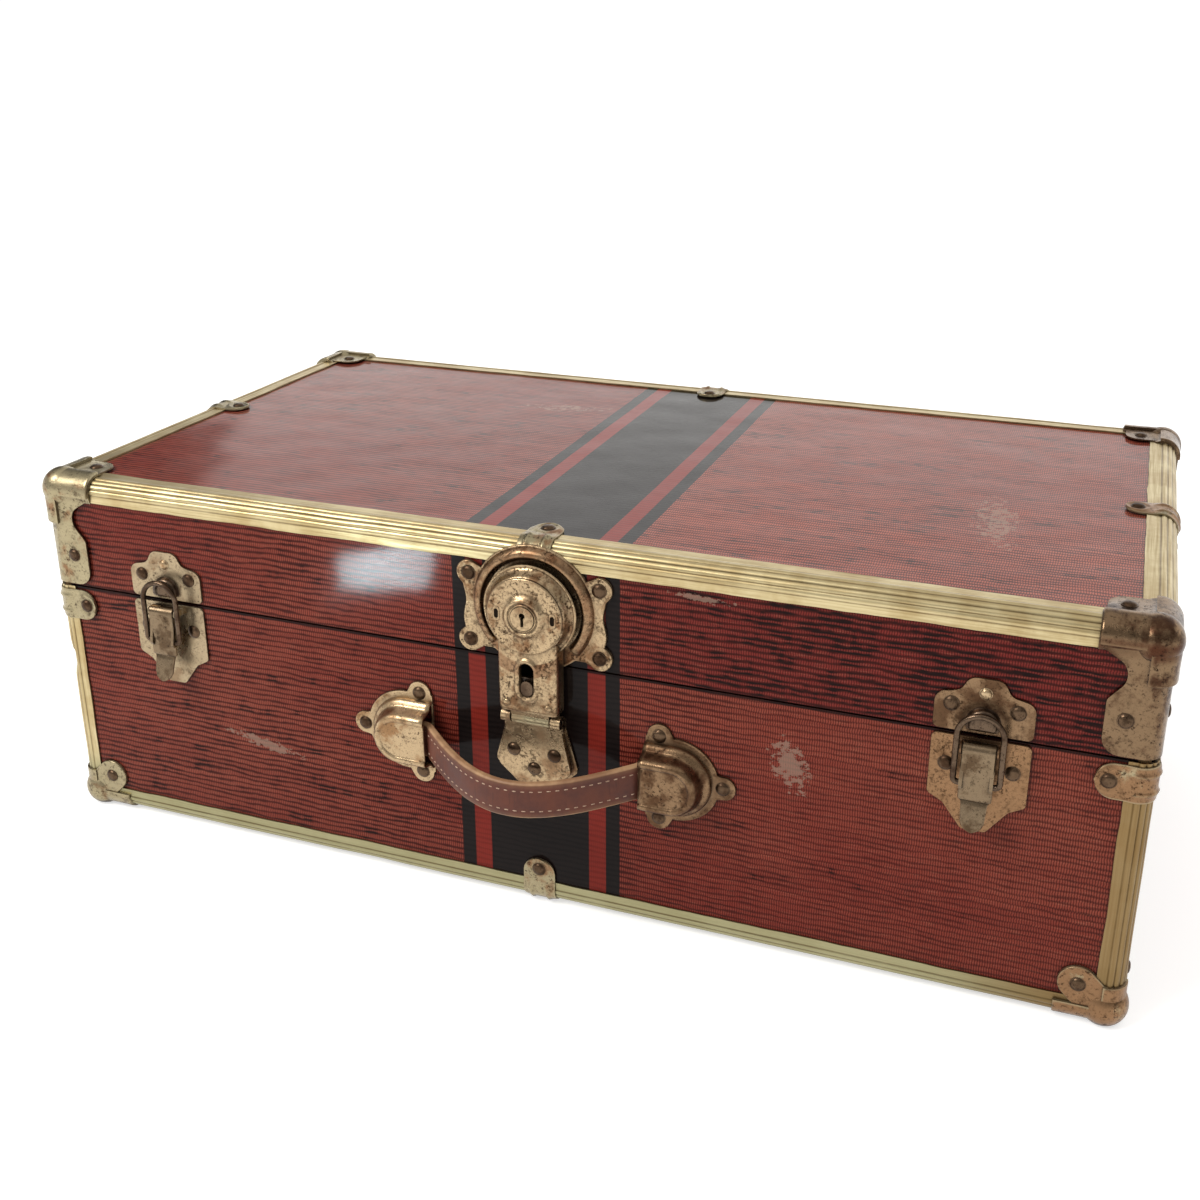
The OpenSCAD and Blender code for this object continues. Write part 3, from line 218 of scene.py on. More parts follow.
def covering_material():
    """Varnished fibre with a printed grass-cloth weave in dark red and a dark band with two red stripes."""
    s = Shader("covering_print", (140, 55, 44))
    weave = s.lengths()
    u, v, _ = s.split(weave)
    place = s.place()
    x, _, z = s.split(place)
    on_lid = s.times(s.step(z, PARTING, PARTING + 1 * MM), s.fall(z, TOP - 5 * MM, TOP - 3 * MM))
    # The lid is darker and streakier towards the right.
    lid_darker_right = s.times(on_lid, s.step(x, -0.05, 0.12))
    faded = s.times(s.step(x, 0.06, 0.16), s.fall(z, PARTING - 2 * MM, PARTING))
    # Painted reflection: the top made paler and warmer towards the right.
    top_painted_reflection = s.times(s.step(z, TOP - 4 * MM, TOP - 2 * MM), s.step(x, -0.12, 0.1, 0.1, 0.5))

    wander = s.noise(weave, (22, 45, 1), detail=4, rough=0.62)
    line = s.add(s.times(v, 1 / ROW_PITCH), s.times(wander, 1.7))
    row = s.math("FLOOR", line)
    across = s.math("FRACT", line)
    from_edge = s.math("MINIMUM", across, s.math("SUBTRACT", 1.0, across))
    seed = s.node("ShaderNodeTexWhiteNoise", {"W": row}, noise_dimensions="1D")

    shifted = s.add(s.times(u, 40), s.times(seed, 40))
    along = s.node("ShaderNodeCombineXYZ", {0: shifted, 1: s.times(row, 3.1)})
    patches = s.noise(weave, (7, 11, 1), detail=3)
    streak = s.noise(along, detail=3, rough=0.65)
    streak = s.add(streak, s.times(s.math("SUBTRACT", patches, 0.5), 0.25))
    streak = s.add(streak, s.times(lid_darker_right, 0.11), s.times(faded, -0.045))
    ragged = s.noise(weave, (380, 900, 1))
    uneven = s.step(streak, 0.3, 0.7)
    width = s.add(0.16, s.times(uneven, 0.22), s.times(ragged, 0.14))
    gap = s.fall(from_edge, s.times(width, 0.2), width)
    gap = s.times(gap, s.add(0.62, s.times(faded, -0.2), s.times(uneven, 0.38)))
    dash = s.times(s.step(streak, 0.6, 0.7), s.step(from_edge, 0.2, 0.45, 1.0, 0.15))

    jitter = s.noise(weave, (160, 500, 1), detail=1)
    phase = s.add(s.times(u, 1 / THREAD_PITCH), s.times(seed, 0.5), s.times(jitter, 0.7))
    thread = s.fall(s.math("PINGPONG", phase, 0.5), 0.05, 0.36)

    tone = s.noise(weave, (4, 6, 1), detail=4)
    fibres = s.noise(weave, (90, 1500, 1))
    s.paint(s.step(tone, 0.3, 0.7), (160, 82, 65))
    s.paint(s.times(lid_darker_right, 0.85), (128, 43, 40))
    # Painted reflection on the top, paler and warmer towards the right.
    s.paint(top_painted_reflection, (206, 108, 84))
    s.paint(s.step(fibres, 0.5, 0.8, 0, 0.5), (178, 112, 90))
    s.paint(s.times(seed, 0.3), (108, 36, 30))
    s.paint(s.times(thread, 0.78), (60, 16, 13))
    s.paint(gap, (54, 14, 11))
    s.paint(dash, (26, 7, 6))

    side = s.math("ABSOLUTE", x)
    band = s.fall(side, BAND_HALF - STRIPE_SOFT, BAND_HALF + STRIPE_SOFT)
    stripe = s.times(s.step(side, STRIPE_IN - STRIPE_SOFT, STRIPE_IN + STRIPE_SOFT),
                     s.fall(side, STRIPE_OUT - STRIPE_SOFT, STRIPE_OUT + STRIPE_SOFT))
    black = s.mix(s.times(gap, 0.6), srgb(30, 24, 23), srgb(15, 11, 11))
    red = s.mix(s.times(thread, 0.16), srgb(136, 45, 36), srgb(84, 24, 20))
    red = s.mix(s.times(gap, 0.3), red, srgb(60, 18, 16))
    s.colour = s.mix(band, s.colour, s.mix(stripe, black, red))

    rub = s.noise(place, (260, 260, 420), detail=5, rough=0.7)
    scuff = 0.0
    for at, size, turn, solid in SCUFFS:
        local = s.mapped(place, "TEXTURE", Location=at, Rotation=turn, Scale=size)
        away = s.node("ShaderNodeVectorMath", {0: local}, output=1, operation="LENGTH")
        away = s.add(away, s.step(rub, 0.3, 0.7, 0.55, -0.55))
        scuff = s.math("MAXIMUM", scuff, s.fall(away, solid - 0.12, solid))
    s.paint(s.times(scuff, 0.66), (156, 128, 112))
    # Painted shade: contact shadow darkens the covering round the hardware and in the crevices, with some soiling.
    s.paint(s.fall(s.shade_and_grime(9 * MM), 0.35, 0.95, 0.75), (24, 12, 10))
    # Painted shadow: a dark line along the parting gap between lid and base.
    from_seam = s.math("ABSOLUTE", s.math("SUBTRACT", z, PARTING))
    s.paint(s.fall(from_seam, 0.8 * MM, 1.8 * MM, 0.9), (18, 8, 7))

    dust = s.noise(weave, (30, 50, 1), detail=6, rough=0.7)
    rough = s.add(s.step(dust, 0.35, 0.75, 0.3, 0.48), s.times(scuff, 0.3))
    relief = s.math("SUBTRACT", s.math("SUBTRACT", 1.0, gap), s.times(thread, 0.35))
    return s.surfaced(rough, relief, 0.06 * MM, 0.6, IOR=1.07,
                      Coat_Weight=1.0, Coat_Roughness=0.08, Coat_IOR=1.17)


def metal(name, pale, deep, dark, tarnish=0.1, pits=0.03, roughness=0.3, ring=None, rust_and_dark_reflection=None, drift=0.0):
    """Old plated sheet metal: tarnish in clouds, dark pits, soiling with painted shade in the crevices and bright
    worn edges.
    """
    s = Shader(name, pale)
    place = s.place()
    x, _, z = s.split(place)
    clouds = s.noise(place, 60, detail=6, rough=0.65)
    specks = s.noise(place, 1000, detail=3, rough=0.6)
    stains = s.noise(s.mapped(place, Location=(3.1, 1.7, 0.4)), 150, detail=6, rough=0.72)
    fields = s.noise(s.mapped(place, Location=(0.7, 2.9, 5.3)), 70, detail=3)
    patina = s.add(clouds, s.step(x, -0.2, 0.3, 0.0, drift))
    s.paint(s.step(patina, 0.56 - tarnish, 0.7 - tarnish), deep)
    if ring:
        centre, inner, outer, tone = ring
        inputs = {0: s.mapped(place, Scale=(1, 0, 1)), 1: centre}
        away = s.node("ShaderNodeVectorMath", inputs, output=1, operation="DISTANCE")
        within = s.times(s.step(away, inner, inner + 1 * MM), s.fall(away, outer - 1 * MM, outer))
        s.paint(s.times(within, s.step(clouds, 0.25, 0.6, 0.95, 0.45)), tone)
    # A dark brown band at given heights: brown oxide together with a painted dark reflection.
    if rust_and_dark_reflection:
        low, high, tone = rust_and_dark_reflection
        within = s.times(s.step(z, low - 3 * MM, low + 1 * MM), s.fall(z, high - 1 * MM, high + 3 * MM))
        s.paint(s.times(within, s.step(clouds, 0.3, 0.55, 0.45, 0.95)), tone)
    s.paint(s.step(stains, 0.53, 0.7, 0.0, 0.7), dark)
    spot = s.step(s.noise(place, 460, detail=5, rough=0.75), 0.57 - pits, 0.65 - pits)
    spot = s.times(spot, s.step(fields, 0.36, 0.6, 0.25, 1.0))
    s.paint(s.times(spot, 0.85), dark)
    s.paint(s.step(specks, 0.58, 0.7, 0.0, 0.5), dark)
    # Painted shade with soiling: darker and less metallic in the crevices.
    dirt_and_shade = s.fall(s.shade_and_grime(5 * MM), 0.4, 0.98, 0.95)
    s.paint(dirt_and_shade, dark)
    worn = s.node("ShaderNodeNewGeometry", output=7)
    s.paint(s.step(worn, 0.515, 0.58, 0.0, 0.6), pale)
    rough = s.add(s.step(clouds, 0.3, 0.75, roughness - 0.08, roughness + 0.14), s.times(spot, 0.25))
    height = s.add(s.noise(place, 95), s.times(specks, 0.12), s.times(spot, -0.18))
    return s.surfaced(rough, height, 0.5 * MM, 0.45, Metallic=s.step(dirt_and_shade, 0.2, 0.9, 1.0, 0.45))


def binding_material():
    """Pale ribbed brass strip: streaks along its length, dark grooves, rubbed marks, duller low edges, painted
    shade at the base's right end and painted shade with soiling in the crevices.
    """
    s = Shader("binding_strip", (202, 187, 146))
    strip = s.lengths()
    place = s.place()
    x, _, z = s.split(place)
    streaks = s.noise(strip, (18, 900, 1), detail=4, rough=0.6)
    clouds = s.noise(place, 40, detail=5, rough=0.6)
    marks = s.noise(strip, (70, 620, 1), detail=5, rough=0.75)
    s.paint(s.step(clouds, 0.35, 0.7), (178, 158, 115))
    s.paint(s.step(streaks, 0.4, 0.75, 0.0, 0.55), (146, 120, 76))
    s.paint(s.step(marks, 0.64, 0.74, 0.0, 0.8), (74, 54, 34))
    s.paint(s.fall(z, 22 * MM, 45 * MM, 0.8), (148, 146, 112))
    # Painted shade: the right end of the base's bindings darker and browner.
    s.paint(s.times(s.step(x, 0.22, 0.3), s.fall(z, PARTING, PARTING + 20 * MM, 0.85)), (122, 96, 60))
    groove = s.step(s.attribute("groove"), 0.25, 0.9)
    s.paint(s.times(groove, s.step(clouds, 0.2, 0.6, 0.3, 0.7)), (84, 64, 36))
    # Painted shade with soiling in the crevices, which also dulls the metal.
    dirt_and_shade = s.fall(s.shade_and_grime(4 * MM), 0.25, 0.9, 0.75)
    s.paint(dirt_and_shade, (64, 46, 28))
    height = s.add(s.noise(place, 70), s.times(streaks, 0.15))
    return s.surfaced(s.step(streaks, 0.3, 0.75, 0.3, 0.5), height, 0.5 * MM, 0.35,
                      Metallic=s.step(dirt_and_shade, 0.2, 0.9, 1.0, 0.5))


def leather_material():
    """Brown strap leather with pores, creases across the strap and pale raw edges."""
    s = Shader("strap_leather", (80, 39, 29))
    place = s.place()
    clouds = s.noise(place, 60, detail=5, rough=0.6)
    pores = s.node("ShaderNodeTexVoronoi", {"Vector": place, "Scale": 1500})
    creases = s.noise(s.lengths(), (420, 60, 1), detail=4, rough=0.65)
    s.paint(s.step(clouds, 0.3, 0.72), (110, 61, 45))
    s.paint(s.step(creases, 0.55, 0.75, 0.0, 0.5), (58, 30, 25))
    suede = s.mix(s.step(clouds, 0.35, 0.65), srgb(150, 112, 82), srgb(188, 150, 112))
    s.colour = s.mix(s.attribute("raw_edge"), s.colour, suede)
    # Painted shade with soiling in the crevices.
    s.paint(s.fall(s.shade_and_grime(3 * MM), 0.3, 0.95, 0.6), (40, 21, 18))
    height = s.add(s.times(pores, 0.5), s.times(creases, 0.8))
    return s.surfaced(s.step(clouds, 0.3, 0.7, 0.42, 0.62), height, 0.12 * MM, 0.6, Specular_IOR_Level=0.35)


def thread_material():
    """Waxed sewing thread with a fine twist."""
    s = Shader("sewing_thread", (168, 132, 108))
    twist = s.noise(s.place(), (2200, 900, 2200))
    s.paint(s.step(twist, 0.35, 0.65), (214, 186, 160))
    return s.surfaced(0.7, twist, 0.05 * MM, 0.6)


def wood_material():
    """Pale softwood board with grain along its length."""
    s = Shader("softwood_board", (196, 158, 108))
    place = s.place()
    grain = s.noise(place, (9, 130, 130), detail=5, rough=0.6)
    rings = s.noise(place, (3, 30, 30))
    s.paint(s.step(rings, 0.3, 0.7), (172, 130, 84))
    s.paint(s.step(grain, 0.5, 0.75, 0.0, 0.6), (128, 90, 54))
    return s.surfaced(s.step(grain, 0.3, 0.7, 0.55, 0.75), grain, 0.15 * MM, 0.5)


def lining_material():
    """Aged lining paper with a faint woven stripe and foxing."""
    s = Shader("lining_paper", (214, 200, 168))
    place = s.place()
    x, y, _ = s.split(place)
    stripe = s.step(s.math("PINGPONG", s.add(x, y), 6 * MM), 2.4 * MM, 3.2 * MM)
    clouds = s.noise(place, 9, detail=5, rough=0.6)
    fox = s.noise(place, 130, detail=4, rough=0.7)
    fibre = s.noise(place, (900, 900, 900))
    s.paint(s.times(stripe, 0.4), (186, 166, 130))
    s.paint(s.step(clouds, 0.4, 0.75, 0.0, 0.5), (176, 148, 106))
    s.paint(s.step(fox, 0.66, 0.76, 0.0, 0.6), (132, 92, 56))
    # Painted shade in the inside corners, with soiling.
    s.paint(s.fall(s.shade_and_grime(30 * MM), 0.2, 0.9, 0.5), (110, 84, 56))
    return s.surfaced(s.step(fibre, 0.3, 0.7, 0.7, 0.85), fibre, 0.1 * MM, 0.4)


COVERING = covering_material()
BINDING = binding_material()
HARDWARE = metal("hardware_brass_pale", (184, 160, 126), (150, 116, 82), (52, 30, 18), tarnish=0.06)
# Browner brass for the right-hand keeper and handle cap, painted darker as shade: a shaded copy of the pale brass.
HARDWARE_BROWN_SHADED = metal("hardware_brass_brown_shaded", (132, 106, 80), (86, 62, 44), (34, 19, 12), tarnish=0.12)
PLATE_PALE = metal("plate_brass_grey", (164, 146, 118), (132, 106, 80), (44, 26, 16), tarnish=0.04)
PLATE_ORANGE = metal("plate_brass_orange", (138, 106, 77), (94, 66, 44), (36, 20, 12), tarnish=0.06,
                     pits=0.06)
LEVER_METAL = metal("lever_plated", (126, 108, 86), (90, 72, 54), (32, 22, 15), tarnish=0.08, pits=0.0,
                    roughness=0.27)
LOCK_METAL = metal("lock_brass_aged", (178, 154, 121), (130, 98, 70), (42, 25, 15), tarnish=0.08, pits=0.07,
                   roughness=0.28, ring=((LOCK.x, 0, LOCK.z), 28.5 * MM, 37 * MM, (118, 80, 55)))
CAP_METAL = metal("cap_brass_pale", (160, 148, 118), (138, 106, 77), (48, 29, 18), tarnish=0.0, drift=0.26)
# The right lid caps' brass; its dark brown band across the beads and ball is partly a painted dark reflection.
CAP_DARK = metal("cap_brass_brown", (124, 101, 77), (74, 52, 38), (30, 17, 11), roughness=0.23,
                 rust_and_dark_reflection=(TOP - 14 * MM, TOP - 7 * MM, (74, 45, 32)))
RIVET_METAL = metal("rivet_dark", (94, 75, 58), (66, 48, 35), (27, 17, 11), pits=0.0, roughness=0.33)
STEEL = metal("steel_dark", (98, 81, 66), (64, 48, 37), (26, 17, 12), pits=0.0, roughness=0.27)
# Near-black floors for the drum's slots: painted shade where the slots open into the lock.
SLOT_SHADE = metal("slot_painted_shade", (34, 27, 21), (22, 16, 12), (10, 7, 5), pits=0.0, roughness=0.5)
LEATHER = leather_material()
THREAD = thread_material()
WOOD = wood_material()
LINING = lining_material()


# Mesh building

def body_of_node(node):
    return next(body for body, members in frame["record"]["behaviour"]["bodies"].items() if node in members)


def ride_with(piece, node, material):
    """Gives a finished piece its material, and the body of a node."""
    piece.data.materials.clear()
    piece.data.materials.append(material)
    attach(piece, body_of_node(node))
    return piece


def adopt(piece, node, material):
    """Lets a finished piece stand for a node."""
    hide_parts(node)
    return ride_with(piece, node, material)


def placed(name, mesh, smooth_angle=35):
    """An object with a smooth mesh that stays sharp past an angle in degrees."""
    mesh.shade_smooth()
    mesh.set_sharp_from_angle(angle=math.radians(smooth_angle))
    piece = bpy.data.objects.new(name, mesh)
    bpy.context.scene.collection.objects.link(piece)
    return piece


def opened(mesh, weld=1e-6):
    """A mesh opened for editing, with its points joined where they meet."""
    shape = bmesh.new()
    shape.from_mesh(mesh)
    bmesh.ops.remove_doubles(shape, verts=shape.verts, dist=weld)
    return shape


def merge_flat(shape):
    """Joins the faces that lie in one plane."""
    bmesh.ops.dissolve_limit(shape, angle_limit=math.radians(1), verts=shape.verts, edges=shape.edges)


def saved(shape, mesh):
    shape.to_mesh(mesh)
    shape.free()


def rounded(piece, width, angle, harden):
    """Rounds over the edges that are sharper than an angle in degrees."""
    rounding = piece.modifiers.new("rounding", "BEVEL")
    rounding.width = width
    rounding.segments = 2
    rounding.limit_method = "ANGLE"
    rounding.angle_limit = math.radians(angle)
    rounding.harden_normals = harden


def softened(node, material, width=0.35 * MM):
    """A copy of a rigid node whose sharp edges are rounded over, as pressed and worn metal has them."""
    name = node + "_shaped"
    mesh = frame["nodes"][node].data.copy()
    mesh.name = name
    shape = opened(mesh)
    merge_flat(shape)
    saved(shape, mesh)
    piece = placed(name, mesh)
    rounded(piece, width, 35, harden=True)
    return adopt(piece, node, material)


def arc(start, end, steps):
    """Angles in radians from start to end, which are in degrees."""
    return [math.radians(start + (end - start) * i / steps) for i in range(steps + 1)]


def round_angles(steps):
    return [2 * math.pi * i / steps for i in range(steps)]


def clamp(value):
    return min(1, max(0, value))


def near(value, middle, half):
    """A soft bump of height 1 round a middle value."""
    return math.exp(-((value - middle) / half) ** 2)


def in_mm(pairs):
    return [(a * MM, b * MM) for a, b in pairs]


class Form:
    """A mesh under construction."""

    def __init__(self, points=(), faces=()):
        self.points, self.faces = list(points), list(faces)

    def skin(self, rings, closed_ends=True):
        """Joins rings of equally many points into a surface."""
        n, base = len(rings[0]), len(self.points)
        last = base + (len(rings) - 1) * n
        for ring in rings:
            self.points.extend(ring)
        for a in range(base, last, n):
            for i in range(n):
                j = (i + 1) % n
                self.faces.append((a + i, a + j, a + n + j, a + n + i))
        if closed_ends:
            self.faces.append(tuple(range(base, base + n))[::-1])
            self.faces.append(tuple(range(last, last + n)))

    def lathe(self, seat, axis, profile, segments=24):
        """A turned shape: the profile's pairs are a radius and a height along the axis from the seat."""
        first = axis.orthogonal().normalized()
        second = axis.cross(first)
        self.skin([[seat + axis * h + (first * math.cos(a) + second * math.sin(a)) * r
                    for a in round_angles(segments)] for r, h in profile])

    def stand(self):
        """Keeps all points on or above the floor."""
        for point in self.points:
            point.z = max(point.z, 0)

    def piece(self, name, smooth_angle=35):
        mesh = bpy.data.meshes.new(name)
        mesh.from_pydata([tuple(p) for p in self.points], [], self.faces)
        mesh.validate()
        return placed(name, mesh, smooth_angle)

    def welded(self, name, smooth_angle=35):
        """A piece whose points are joined where they meet and whose faces all look outward."""
        piece = self.piece(name, smooth_angle)
        shape = opened(piece.data, 1e-7)
        bmesh.ops.recalc_face_normals(shape, faces=shape.faces)
        saved(shape, piece.data)
        return piece


class Strip(Form):
    """A form whose faces also carry, at each corner, the lengths along it and round it."""

    def __init__(self):
        super().__init__()
        self.weave = []

    def loft(self, rings, outline, run, seed=0.0, flip=False):
        """Joins rings along a run of a given length; the outline gives the lengths round them."""
        n, steps, start = len(outline), len(rings) - 1, len(self.faces)
        around = [0.0]
        for p, q in zip(outline, outline[1:] + outline[:1]):
            around.append(around[-1] + math.hypot(q[0] - p[0], q[1] - p[1]))
        self.skin(rings)
        for k in range(steps):
            low, high = seed + run * k / steps, seed + run * (k + 1) / steps
            self.weave += [[(low, around[i]), (low, around[i + 1]), (high, around[i + 1]), (high, around[i])]
                           for i in range(n)]
        self.weave += [[(seed, 0.0)] * n] * 2
        if flip:
            self.faces[start:] = [face[::-1] for face in self.faces[start:]]
            self.weave[start:] = [corners[::-1] for corners in self.weave[start:]]

    def strip(self, name, smooth_angle, label, values):
        """The finished piece, with a labelled value at each point for its material."""
        piece = self.piece(name, smooth_angle)
        weave_map(piece, self.weave)
        piece.data.attributes.new(label, "FLOAT", "POINT").data.foreach_set("value", values)
        return piece


def weave_map(piece, weave):
    """Writes the two lengths in metres that the patterned materials read."""
    layer = piece.data.uv_layers.new(name="weave")
    layer.data.foreach_set("uv", [value for face in weave for pair in face for value in pair])


# Covering

SHEET_STEP = 4 * MM
SHEET_T = 2.5 * MM
SHEET_EDGE = 8.5 * MM
SHEET_RIM = 4
WALL_DENT, TOP_DENT = 0.3 * MM, 0.6 * MM


def dent(u, v, seed, depth):
    """Depth of the soft hollows in a sheet, from 0 down to -depth."""
    broad, fine = Vector((u * 9, v * 11, seed)), Vector((u * 31, v * 37, seed))
    soft = noise.noise(broad) * 0.6 + noise.noise(fine) * 0.4
    return -depth * clamp(0.5 + soft)


def add_sheet(form, lengths, corner, along, across, out, seed):
    """Adds a gently buckled sheet, its flat back and its edges, and the lengths at their points."""
    nu, nv = (max(2, round(side.length / SHEET_STEP)) for side in (along, across))
    rows, rise = along.normalized(), across.normalized()
    depth = TOP_DENT if out.z > 0 else WALL_DENT
    start = len(form.points)

    def index(i, j):
        return start + j * (nu + 1) + i

    for j in range(nv + 1):
        for i in range(nu + 1):
            p = corner + along * (i / nu) + across * (j / nv)
            flat_rim = min(1, min(i, nu - i, j, nv - j) / SHEET_RIM)
            form.points.append(p + out * (dent(p.dot(rows), p.dot(rise), seed, depth) * flat_rim))
    form.faces += [(index(i, j), index(i + 1, j), index(i + 1, j + 1), index(i, j + 1))
                   for j in range(nv) for i in range(nu)]
    rim = [index(i, 0) for i in range(nu)] + [index(nu, j) for j in range(nv)]
    rim += [index(i, nv) for i in range(nu, 0, -1)] + [index(0, j) for j in range(nv, 0, -1)]
    back, n = len(form.points), len(rim)
    form.points += [form.points[k] - out * SHEET_T for k in rim]
    form.faces += [(rim[(k + 1) % n], rim[k], back + k, back + (k + 1) % n) for k in range(n)]
    form.faces.append(tuple(range(back, back + n))[::-1])
    lengths += [(p.dot(rows), p.dot(rise)) for p in form.points[start:]]


def covering(node, low, high, is_lid, seed):
    """The five sheets of one half of the case."""
    x0, x1 = low.x + SHEET_EDGE, high.x - SHEET_EDGE
    y0, y1 = low.y + SHEET_EDGE, high.y - SHEET_EDGE
    z0, z1 = (low.z, high.z - SHEET_EDGE) if is_lid else (low.z + SHEET_EDGE, high.z)
    wide, deep, tall = AXIS_X * (x1 - x0), AXIS_Y * (y1 - y0), AXIS_Z * (z1 - z0)
    sheets = [
        ((x0, low.y, z0), wide, tall, -AXIS_Y), ((x1, high.y, z0), -wide, tall, AXIS_Y),
        ((low.x, y1, z0), -deep, tall, -AXIS_X), ((high.x, y0, z0), deep, tall, AXIS_X),
        ((x0, y0, high.z), wide, deep, AXIS_Z) if is_lid else ((x0, y1, low.z), wide, -deep, -AXIS_Z)]
    form, lengths = Form(), []
    for k, (corner, along, across, out) in enumerate(sheets):
        add_sheet(form, lengths, Vector(corner), along, across, out, seed + 7.3 * k)
    piece = form.piece(node + "_sheets")
    weave_map(piece, [[lengths[k] for k in face] for face in form.faces])
    adopt(piece, node, COVERING)


covering("base_covering", COVER_LOW, COVER_HIGH, False, 2.0)
covering("lid_covering", LID_LOW, LID_HIGH, True, 5.0)


# Edge bindings

EDGE_R = 9 * MM
RIB_H = 0.55 * MM
RIB_COUNT = 4
CREST_STEPS = 48
FLANGE_STEPS = 5
FLANGE_WALL = 14 * MM
FLANGE_FLAT = 17 * MM
BINDING_STEP = 5 * MM
SEED_STEP = 1.7
KINK_SHARE, KINK_HALF, KINK_DEPTH = 0.62, 6 * MM, 3.6 * MM


def binding_section(first, second, at, seed, kink):
    """Points of one cross-section as (along the first face, along the second face, groove)."""
    def sway(scale, offset):
        return noise.noise(Vector((at * scale, seed, offset)))
    first += 0.5 * MM * sway(28, 0.0) + 0.3 * MM * sway(90, 1.0)
    second += 0.5 * MM * sway(28, 2.0) + 0.3 * MM * sway(90, 3.0)
    lift_a = max(0, sway(22, 4.0)) * 0.35 * MM
    lift_b = max(0, sway(22, 5.0)) * 0.35 * MM
    dented = max(0, sway(13, 6.0) - 0.35) * 2.2 * MM + kink
    shares = [i / FLANGE_STEPS for i in range(FLANGE_STEPS + 1)]
    section = [(first + (EDGE_R - first) * t, -lift_a * (1 - t) ** 2, 0.0) for t in shares[:-1]]
    for i, a in enumerate(arc(270, 180, CREST_STEPS)):
        t = i / CREST_STEPS
        rib = abs(math.sin(math.pi * RIB_COUNT * t)) ** 0.75
        r = EDGE_R + RIB_H * rib * (1 + 0.25 * sway(35, 7.0 + round(t * RIB_COUNT)))
        r -= dented * math.sin(math.pi * t) ** 2
        section.append((EDGE_R + r * math.cos(a), EDGE_R + r * math.sin(a), 1 - rib))
    section += [(-lift_b * t ** 2, EDGE_R + (second - EDGE_R) * t, 0.0) for t in shares[1:]]
    section.append((BINDING_T, second, 0.6))
    inner = EDGE_R - BINDING_T
    section += [(EDGE_R + inner * math.cos(a), EDGE_R + inner * math.sin(a), 0.0) for a in arc(180, 270, 6)]
    section.append((first, BINDING_T, 0.6))
    return section


def binding(node, edges):
    """Ribbed strips; an edge has its ends, the directions into its faces, two widths, a seed and a kink."""
    form, grooves = Strip(), []
    for start, end, first_in, second_in, first, second, seed, kinked in edges:
        run = end - start
        count = max(2, round(run.length / BINDING_STEP))
        sections = []
        for k in range(count + 1):
            at = run.length * k / count
            kink = KINK_DEPTH * near(at, run.length * KINK_SHARE, KINK_HALF) if kinked else 0
            sections.append(binding_section(first, second, at, seed, kink))
        rings = [[start + run * (k / count) + first_in * a + second_in * b for a, b, _ in section]
                 for k, section in enumerate(sections)]
        grooves += [groove for section in sections for _, _, groove in section]
        form.loft(rings, sections[0], run.length, seed, flip=run.cross(first_in).dot(second_in) >= 0)
    adopt(form.strip(node + "_strip", 50, "groove", grooves), node, BINDING)


def edge_bindings():
    """The eight horizontal bindings and the four upright ones."""
    seed = 1.0
    for half, z, flat_in in (("lid", PLANE_TOP, -AXIS_Z), ("base", PLANE_LOW, AXIS_Z)):
        for name, axis, plane, inward in FACES + ENDS:
            node = f"{half}_binding_{name}"
            start, end = (corner.copy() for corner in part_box(node))
            start[axis] = end[axis] = plane
            start.z = end.z = z
            binding(node, [(start, end, inward, flat_in, FLANGE_FLAT, FLANGE_WALL, seed, False)])
            seed += SEED_STEP
    low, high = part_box("base_upright_bindings")
    edges = []
    for hand, _, x, in_x in ENDS:
        for depth, _, y, in_y in FACES:
            kinked = (hand, depth) == ("left", "front")
            edges.append((Vector((x, y, low.z)), Vector((x, y, high.z)), in_x, in_y,
                          FLANGE_WALL, FLANGE_WALL, seed, kinked))
            seed += SEED_STEP
    binding("base_upright_bindings", edges)


edge_bindings()


# Handle strap

STRAP_LOW, STRAP_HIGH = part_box("handle_strap")
MOUTH_X = 66 * MM
BOW = PIVOT.y - STRAP_LOW.y - 2.2 * MM
DROOP = 4 * MM
STRAP_HALF_W = 11 * MM
STRAP_HALF_T = 2.1 * MM
STRAP_CORNER = 1.5 * MM
STRAP_STEPS = 120
STITCH_IN = 4.9 * MM
STITCH_L = 3.3 * MM
STITCH_PITCH = 4.6 * MM
STITCH_R = 0.42 * MM


def strap_frame(x):
    """Middle point, outward normal, direction and width axis of the strap at x."""
    def middle(at):
        share = math.cos(math.pi / 2 * at / MOUTH_X) if abs(at) < MOUTH_X else 0
        return Vector((at, PIVOT.y - BOW * share, PIVOT.z - DROOP * share))
    step = 0.2 * MM
    ahead = (middle(x + step) - middle(x - step)).normalized()
    up = (AXIS_Z - ahead * ahead.z).normalized()
    return middle(x), ahead.cross(up).normalized(), ahead, up


def strap_section():
    """Points round the strap as (across, outward): crowned faces, round edges and a seam along them."""
    flat = STRAP_HALF_W - STRAP_CORNER
    ring = []
    for side in (1, -1):
        for i in range(9):
            w = side * (1 - 2 * i / 8) * flat
            crown = 0.45 * MM * (1 - (w / STRAP_HALF_W) ** 2)
            from_stitch = abs(abs(w) - (STRAP_HALF_W - STITCH_IN))
            crown -= 0.28 * MM * max(0, 1 - from_stitch / (1.4 * MM))
            ring.append((w, side * (STRAP_HALF_T + crown)))
        for i, a in enumerate(arc(0, 180, 8)[1:-1]):
            pinch = 0.35 * MM if i == 3 else 0
            w = -side * (flat + (STRAP_CORNER - pinch) * math.sin(a))
            ring.append((w, side * STRAP_HALF_T * math.cos(a)))
    return ring


